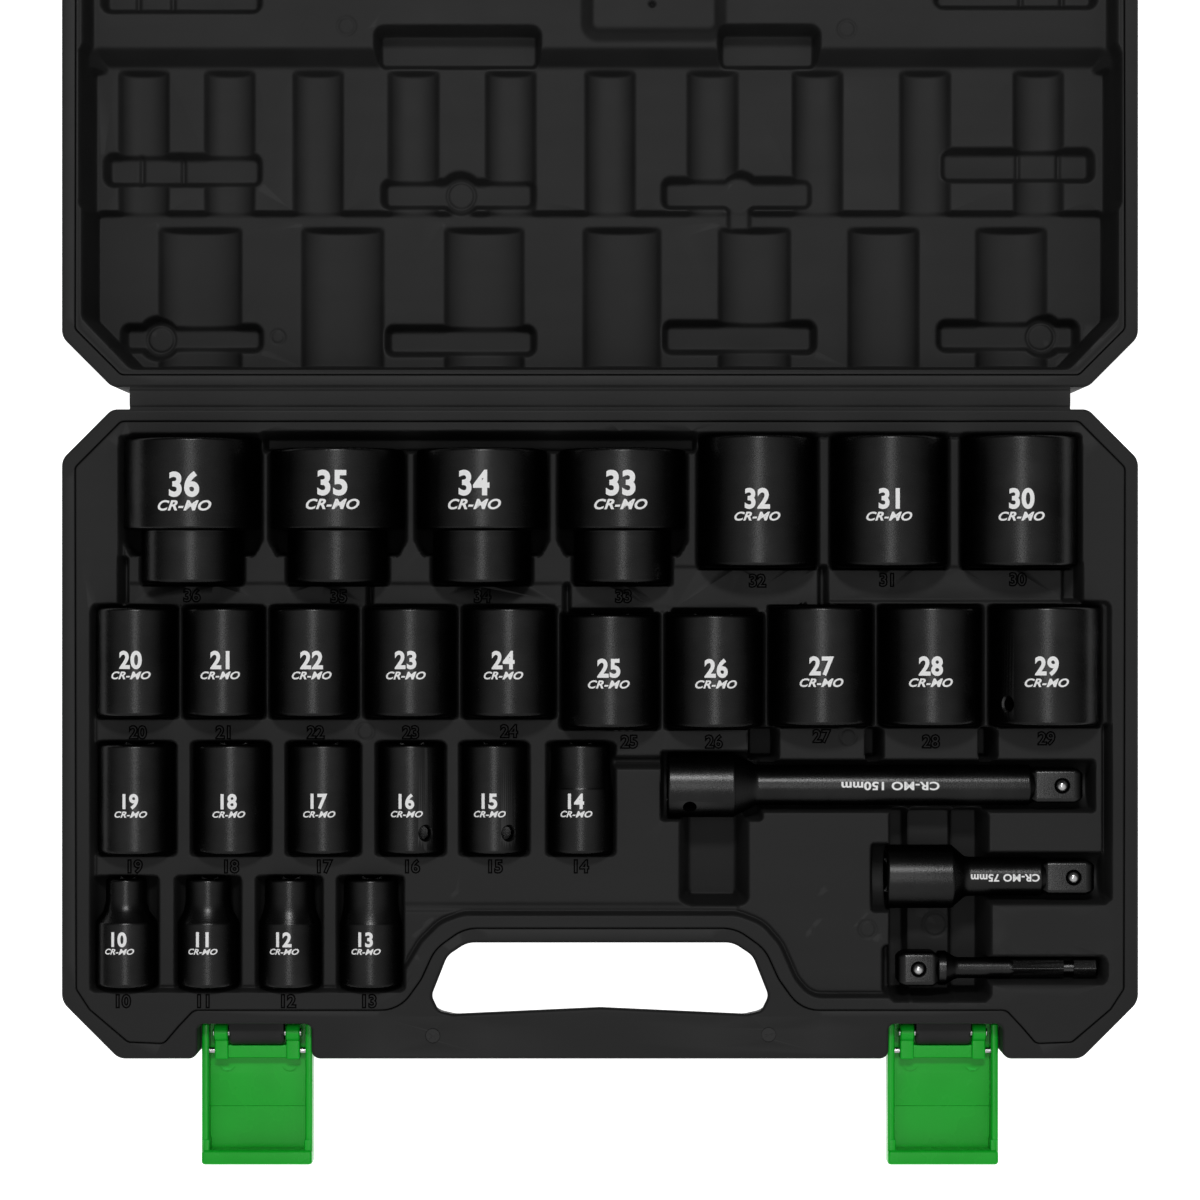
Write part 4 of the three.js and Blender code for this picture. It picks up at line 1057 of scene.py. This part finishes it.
def socket_profile(wide, drive, length, step):
    nose, tail = wide / 2, drive / 2
    profile = [(0, 0), (0, tail - 2.4)] + arc((1.9, tail - 1.5), 1.5, 155, 90)
    if step:
        profile += [(step - 0.4, tail)]
        profile += [(step, tail + 0.15), (step + 0.3, tail + 0.6), (step + 0.6, nose - 0.9)]
        profile += arc((step + 1.5, nose - 0.9), 0.9, 180, 90)
    elif nose < tail:
        profile += arc((length - SLIM_TAPER - 1, tail - 2), 2, 90, 60, 3)
        profile += [(length - SLIM_TAPER + 3.5, nose + 0.25 * (tail - nose)), (length - SLIM_TAPER + 7, nose)]
    profile += arc((length - 1.3, nose - 1.3), 1.3, 90, 25, 4)
    profile += [(length, nose - 1.9), (length, 0)]
    return profile


def build_socket(row, size, x, wide, drive, turn, print_turn):
    length = row["back"] - row["front"]
    step = row["step"] - row["front"] if row["step"] else None
    name = f"socket_{size}_body"
    obj = turned(name, socket_profile(wide, drive, length, step), 96)
    hex_radius = size / math.sqrt(3)
    hex_depth = max(12, 0.42 * length)
    corner = rounded(regular(hex_radius, 6), size * 0.05, 3)
    cutters = [
        prism_along_y("hexagon", corner, length - hex_depth, length + 1),
        plug("mouth", length - 1.6, length + 1.2, size / 2 - 0.4, hex_radius + 0.9),
        plug("relief", DRIVE_DEPTH - 1, length - hex_depth + 1, 0.46 * size),
        prism_along_y("square", square_points(DRIVE_SQUARE / 2, 0.8), -1, DRIVE_DEPTH),
        plug("entry", -0.6, 1.6, 9.3, 7.1),
    ]
    hole = plug("pin_hole", 0, wide, CROSS_HOLE_RADIUS, segments=32, axis="Z")
    sink = plug("pin_hole_edge", drive / 2 - 1.3, drive / 2 + 0.8, 2.3, 3.6, 32, "Z")
    for cutter in (hole, sink):
        cutter.data.transform(Matrix.Translation((0, CROSS_HOLE_FROM_END, 0)))
        cutter.data.transform(Matrix.Rotation(math.radians(turn), 4, "Y"))
    combine(obj, cutters + [hole, sink])
    obj.data.transform(Matrix.Translation((x, row["front"], row["axis"])))
    shade(obj, 30)
    finish(obj, f"socket_{size}", IMPACT_Y, [f"socket_{size}"])
    radius = max(wide, drive) / 2
    digit, mark, y = row["digit"], row["mark"], row["mark_y"]
    figure = sized(text_mesh("print", str(size), 0.035), digit, None)
    wrap(f"print_{size}_size", sliced(figure, 0.9), (x, y, row["axis"]), radius, print_turn, 0.03,
         f"socket_{size}")
    grade = sized(text_mesh("print", "CR-MO", 0.03, shear=0.32), 0.165 * mark, 0.86 * mark)
    wrap(f"print_{size}_grade", sliced(grade, 0.9), (x, y - 0.5 * digit - 0.13 * mark, row["axis"]), radius,
         print_turn, 0.03, f"socket_{size}")


def text_mesh(name, text, bold, shear=0.0, extrude=0.02):
    curve = bpy.data.curves.new(name, "FONT")
    curve.body = text
    curve.size = 10
    curve.align_x, curve.align_y = "CENTER", "CENTER"
    curve.offset = bold * 10
    curve.shear = shear
    curve.resolution_u = 6
    curve.space_character = 1.06
    curve.extrude = extrude
    return mesh_from_curve(curve)


def sized(mesh, height, width):
    """Centres flat lettering and scales it to a height, and to a width if one is given."""
    co = read(mesh.vertices, "co", 3)
    lo, hi = co.min(0), co.max(0)
    k = height / (hi[1] - lo[1])
    kx = width / (hi[0] - lo[0]) if width else k * 0.92
    centred = Matrix.Translation((-(lo[0] + hi[0]) / 2, -(lo[1] + hi[1]) / 2, 0))
    mesh.transform(Matrix.Diagonal((kx, k, 1, 1)) @ centred)
    return mesh


def sliced(mesh, step, axis=0):
    """Cuts flat lettering into narrow strips, so that it can follow a curved surface."""
    bm = bmesh.new()
    bm.from_mesh(mesh)
    across = Vector((1, 0, 0)) if axis == 0 else Vector((0, 1, 0))
    places = [v.co[axis] for v in bm.verts]
    place = min(places) + step
    while place < max(places):
        bmesh.ops.bisect_plane(bm, geom=bm.verts[:] + bm.edges[:] + bm.faces[:],
                               plane_co=across * place, plane_no=across)
        place += step
    bm.to_mesh(mesh)
    bm.free()
    return mesh


def wrap(name, mesh, centre, radius, turn, proud, body, along="Y"):
    """Wraps flat lettering on a cylinder that lies along Y or X, and prints it there."""
    co = read(mesh.vertices, "co", 3)
    across, length = (co[:, 0], co[:, 1]) if along == "Y" else (co[:, 1], co[:, 0])
    angle = across / radius + math.radians(turn)
    r = radius + proud + co[:, 2]
    if along == "Y":
        out = np.stack([centre[0] + r * np.sin(angle), centre[1] + length, centre[2] + r * np.cos(angle)], 1)
    else:
        out = np.stack([centre[0] + length, centre[1] + r * np.sin(angle), centre[2] + r * np.cos(angle)], 1)
    mesh.vertices.foreach_set("co", out.astype(np.float32).ravel())
    mesh.update()
    finish(new_object(name, mesh), body, INK)


# ---------------------------------------------------------------- bars and adapter


def male_square(name, x0, x1, tip):
    """A square drive along X with broken edges and a rounded end."""
    half = MALE_SQUARE / 2
    section = rounded([(half, -half), (half, half), (-half, half), (-half, -half)], 2.0, 4)
    base, end = (x1, x0) if tip == "left" else (x0, x1)
    s = 1 if end > base else -1
    levels = [(base, -2.4), (base + s, -1.3), (base + 2 * s, -0.5), (base + 3 * s, 0), (end - 3.3 * s, 0),
              (end - 2.2 * s, -0.3), (end - 1.1 * s, -0.9), (end - 0.4 * s, -1.6), (end, -2.4)]
    if s < 0:
        levels = levels[::-1]
    return loft(name, [[(x, u, v) for u, v in offset(section, d)] for x, d in levels])


def ball_bore(x):
    radius, depth = BALL_BORE
    top = MALE_SQUARE / 2 + 1
    obj = turned("bore", [(top - depth, 0), (top - depth, radius), (MALE_SQUARE / 2 - 0.6, radius),
                          (top, radius + 1.0), (top, 0)], 40, "Z")
    obj.data.transform(Matrix.Translation((x, 0, 0)))
    return obj


def build_bar(tag, bar, text):
    length, head, radius, shank = bar["length"], bar["head"], bar["head_radius"], bar["shank"]
    shoulder = length - BAR_SQUARE
    profile = [(0, 0)] + arc((1, radius - 1), 1, 180, 90) + arc((head - 1.5, radius - 1.5), 1.5, 90, 45)
    neck = head + bar["neck"]
    profile += [(neck - 1.5, shank + 1.0), (neck - 0.4, shank + 0.2), (neck + 1.0, shank)]
    profile += arc((shoulder - 1.2, shank - 1.2), 1.2, 90, 40) + [(shoulder + 1.5, 5.8), (shoulder + 1.5, 0)]
    obj = turned(f"extension_{tag}_body", profile, 96, "X")
    combine(obj, [male_square("square", shoulder - 1, length, "right")], "UNION")
    hole = plug("pin_hole", 0, radius + 2, CROSS_HOLE_RADIUS, segments=32, axis="Z")
    turn = Matrix.Rotation(math.radians(bar["hole"]), 4, "X")
    hole.data.transform(Matrix.Translation((CROSS_HOLE_FROM_END, 0, 0)) @ turn)
    half = DRIVE_SQUARE / 2
    section = square_points(half, 0.8)
    drive = loft("drive", [[(x, u, v) for u, v in section] for x in (-1, DRIVE_DEPTH + 1)])
    entry = plug("entry", -0.6, 1.6, 9.3, 7.1, axis="X")
    combine(obj, [drive, entry, hole, ball_bore(length - BALL_FROM_END)])
    obj.data.transform(Matrix.Translation((bar["left"], bar["y"], bar["axis"])))
    shade(obj, 30)
    body = f"extension_{tag}"
    finish(obj, body, IMPACT_X, [f"extension_bar_{tag}"])
    mesh = sliced(sized(text_mesh("print", text, 0.03), bar["letter"], bar["mark"]), 0.5, 1)
    mesh.transform(Matrix.Rotation(math.pi, 4, "Z"))
    wrap(f"print_{tag}_length", mesh, (bar["mark_x"], bar["y"], bar["axis"]), shank, 0, 0.04, body, "X")
    return body


def build_adapter():
    a = ADAPTER
    obj = male_square("hex_adapter_body", 0, a["square"], "left")
    near, wide, slim, end = a["square"], a["cone_radius"], a["body"], a["body_end"]
    cone = turned("cone", [(near - 1, 0), (near - 1, wide - 0.6), (near - 0.4, wide), (near + 2, wide),
                           (near + a["cone"] - 0.8, slim + 0.4), (near + a["cone"] + 0.5, slim),
                           (end - 0.6, slim), (end + 1, 3.3), (end + 1, 0)], 64, "X")
    hex_radius = a["hexagon"] / math.sqrt(3)
    section = rounded(regular(hex_radius, 6, math.pi / 2), 0.35, 2)
    ends = [(end, 0), (a["length"] - 0.9, 0), (a["length"], -0.8)]
    shank = loft("hexagon", [[(x, u, v) for u, v in offset(anticlockwise(section), d)] for x, d in ends])
    combine(obj, [cone, shank], "UNION")
    start, end = a["groove"]
    inner = plug("core", start - 2, end + 2, a["groove_radius"], segments=48, axis="X")
    outer = plug("outer", start - 0.6, end + 0.6, 6, segments=48, axis="X")
    combine(outer, [inner])
    combine(obj, [outer, ball_bore(BALL_FROM_END)])
    obj.data.transform(Matrix.Translation((a["left"], a["y"], a["axis"])))
    shade(obj, 30)
    finish(obj, "hex_adapter", IMPACT_X, ["hex_adapter"])


def build_detent(tag, x, y, z):
    bm = bmesh.new()
    bmesh.ops.create_icosphere(bm, subdivisions=4, radius=BALL_RADIUS)
    for v in bm.verts:
        if v.co.z > BALL_RADIUS - 0.12:
            v.co.z = BALL_RADIUS - 0.12 + (v.co.z - BALL_RADIUS + 0.12) * 0.25
    mesh = mesh_from(f"ball_{tag}", bm)
    obj = new_object(f"detent_{tag}_ball", mesh)
    mesh.transform(Matrix.Translation((x, y, z + MALE_SQUARE / 2 + BALL_PROUD - BALL_RADIUS)))
    mesh.shade_smooth()
    finish(obj, f"ball_{tag}", BRIGHT, [f"detent_ball_{tag}"])
    floor = z + MALE_SQUARE / 2 + 1 - BALL_BORE[1]
    top = z + MALE_SQUARE / 2 + BALL_PROUD - 2 * BALL_RADIUS
    wire, coil, turns, steps, sides = 0.3, 1.7, 4, 20, 10
    rings = []
    for k in range(turns * steps + 1):
        a = 2 * math.pi * k / steps
        out = Vector((math.cos(a), math.sin(a), 0))
        centre = Vector((x, y, floor + 0.5 + (top - floor - 1.0) * k / (turns * steps))) + out * coil
        rings.append([centre + out * u + Z_AXIS * v for u, v in regular(wire, sides)])
    obj = loft(f"detent_{tag}_spring", rings)
    obj.data.shade_smooth()
    stretch(obj, BRIGHT, f"detent_spring_{tag}")


# ---------------------------------------------------------------- raised figures on the tray

FIGURES = {
    36: (-147.4, 47.5), 35: (-94.3, 47.2), 34: (-42.5, 47.2), 33: (8.5, 47.2), 32: (56.8, 52.8),
    31: (103.9, 53.1), 30: (150.8, 53.3), 20: (-166.7, -1.9), 21: (-135.5, -1.9), 22: (-102.6, -1.9),
    23: (-68.2, -1.9), 24: (-32.8, -1.5), 25: (10.6, -5.3), 26: (41.1, -5.3), 27: (79.9, -3.3),
    28: (119.4, -5.2), 29: (161.1, -4.1), 19: (-168.2, -50.3), 18: (-133.4, -50.3), 17: (-99.9, -50.3),
    16: (-68.1, -50.3), 15: (-38.1, -50.3), 14: (-7.2, -50.3), 10: (-172.1, -98.6), 11: (-142.8, -98.6),
    12: (-112.6, -98.6), 13: (-83.4, -98.6),
}


def build_figures(relief):
    """Outlined size figures that stand a little proud of the tray, in near-black plastic as painted shade."""
    meshes = []
    for size, (x, y) in FIGURES.items():
        curve = bpy.data.curves.new("figure", "FONT")
        curve.body = str(size)
        curve.size = 6.2
        curve.align_x, curve.align_y = "CENTER", "CENTER"
        curve.offset = 0.2
        curve.resolution_u = 3
        curve.fill_mode = "NONE"
        curve.bevel_depth = 0.25
        curve.bevel_resolution = 1
        mesh = mesh_from_curve(curve)
        mesh.transform(Matrix.Translation((x, y, relief.level(x, y) + 0.02)))
        meshes.append(mesh)
    bm = bmesh.new()
    for mesh in meshes:
        bm.from_mesh(mesh)
    merged = mesh_from("tray_size_figures", bm)
    merged.shade_smooth()
    # The near-black figure plastic is painted shade, not a different moulding.
    finish(new_object("tray_size_figures", merged), "base_half", FIGURE_PAINTED_SHADE)


# ---------------------------------------------------------------- build everything

tray = build_tray()
build_liner()
build_shells()
build_hinge()
build_latch("left", -LATCH_X)
build_latch("right", LATCH_X)
for row in ROWS:
    for size, x, wide, drive, turn, print_turn in row["sockets"]:
        build_socket(row, size, x, wide, drive, turn, print_turn)
for tag, bar in (("150", BAR_150), ("75", BAR_75)):
    rides_on = build_bar(tag, bar, f"CR-MO {tag}mm")
    build_detent(tag, bar["left"] + bar["length"] - BALL_FROM_END, bar["y"], bar["axis"])
build_adapter()
build_detent("adapter", ADAPTER["left"] + BALL_FROM_END, ADAPTER["y"], ADAPTER["axis"])
build_figures(tray)

# ---------------------------------------------------------------- floor, light and camera


def build_floor():
    bm = bmesh.new()
    bmesh.ops.create_grid(bm, x_segments=24, y_segments=24, size=4)
    mesh = mesh_from("floor", bm)
    floor = new_object("floor", mesh)
    mesh.materials.append(floor_material())


def area_light(name, place, target, size, size_y, power):
    light = bpy.data.lights.new(name, "AREA")
    light.shape = "RECTANGLE"
    light.size, light.size_y, light.energy = size, size_y, power
    obj = new_object(name, light)
    obj.location = place
    obj.rotation_mode = "QUATERNION"
    obj.rotation_quaternion = (Vector(target) - Vector(place)).to_track_quat("-Z", "Y")


def studio_world():
    """Soft light from above and the front, fading towards the horizon and the back; pale where it is seen."""
    world = bpy.data.worlds.new("studio")
    world.use_nodes = True
    tree = world.node_tree
    background = tree.nodes["Background"]
    coords = tree.nodes.new("ShaderNodeTexCoord")
    lean = tree.nodes.new("ShaderNodeVectorMath")
    lean.operation = "DOT_PRODUCT"
    lean.inputs[1].default_value = (0, -0.55, 0.835)
    tree.links.new(coords.outputs["Generated"], lean.inputs[0])
    fade = tree.nodes.new("ShaderNodeMapRange")
    fade.interpolation_type = "SMOOTHSTEP"
    for name, value in (("From Min", 0.1), ("From Max", 0.96), ("To Min", 0.07), ("To Max", 0.66)):
        fade.inputs[name].default_value = value
    tree.links.new(lean.outputs["Value"], fade.inputs["Value"])
    path = tree.nodes.new("ShaderNodeLightPath")
    seen = tree.nodes.new("ShaderNodeMix")
    seen.inputs["B"].default_value = 0.8
    tree.links.new(path.outputs["Is Camera Ray"], seen.inputs["Factor"])
    tree.links.new(fade.outputs["Result"], seen.inputs["A"])
    tree.links.new(seen.outputs["Result"], background.inputs["Strength"])
    background.inputs["Color"].default_value = (1, 1, 1, 1)
    return world


KEY_POWER = 26
STRIP_POWER = 7.5

build_floor()
area_light("key", (0.0, 1.4, 2.6), (0.0, 0.05, 0.04), 0.5, 0.3, KEY_POWER)
area_light("strip", (0.0, -0.05, 2.9), (0.0, -0.05, 0.04), 0.4, 1.3, STRIP_POWER)
scene.world = studio_world()
scene.view_settings.view_transform = "Standard"

# Straight above, as far away as the lean of the case's walls in the view says.
CAMERA_RISE = 1.2
CAMERA_Y = 0.04608
FRAME_WIDTH = 0.432
camera = bpy.data.cameras.new("camera")
camera.sensor_width = 36
camera.lens = 36 * CAMERA_RISE / FRAME_WIDTH
camera.clip_start, camera.clip_end = 0.01, 50
camera_object = new_object("camera", camera)
camera_object.location = (0, CAMERA_Y, RIM_Z * MM + CAMERA_RISE)
scene.camera = camera_object
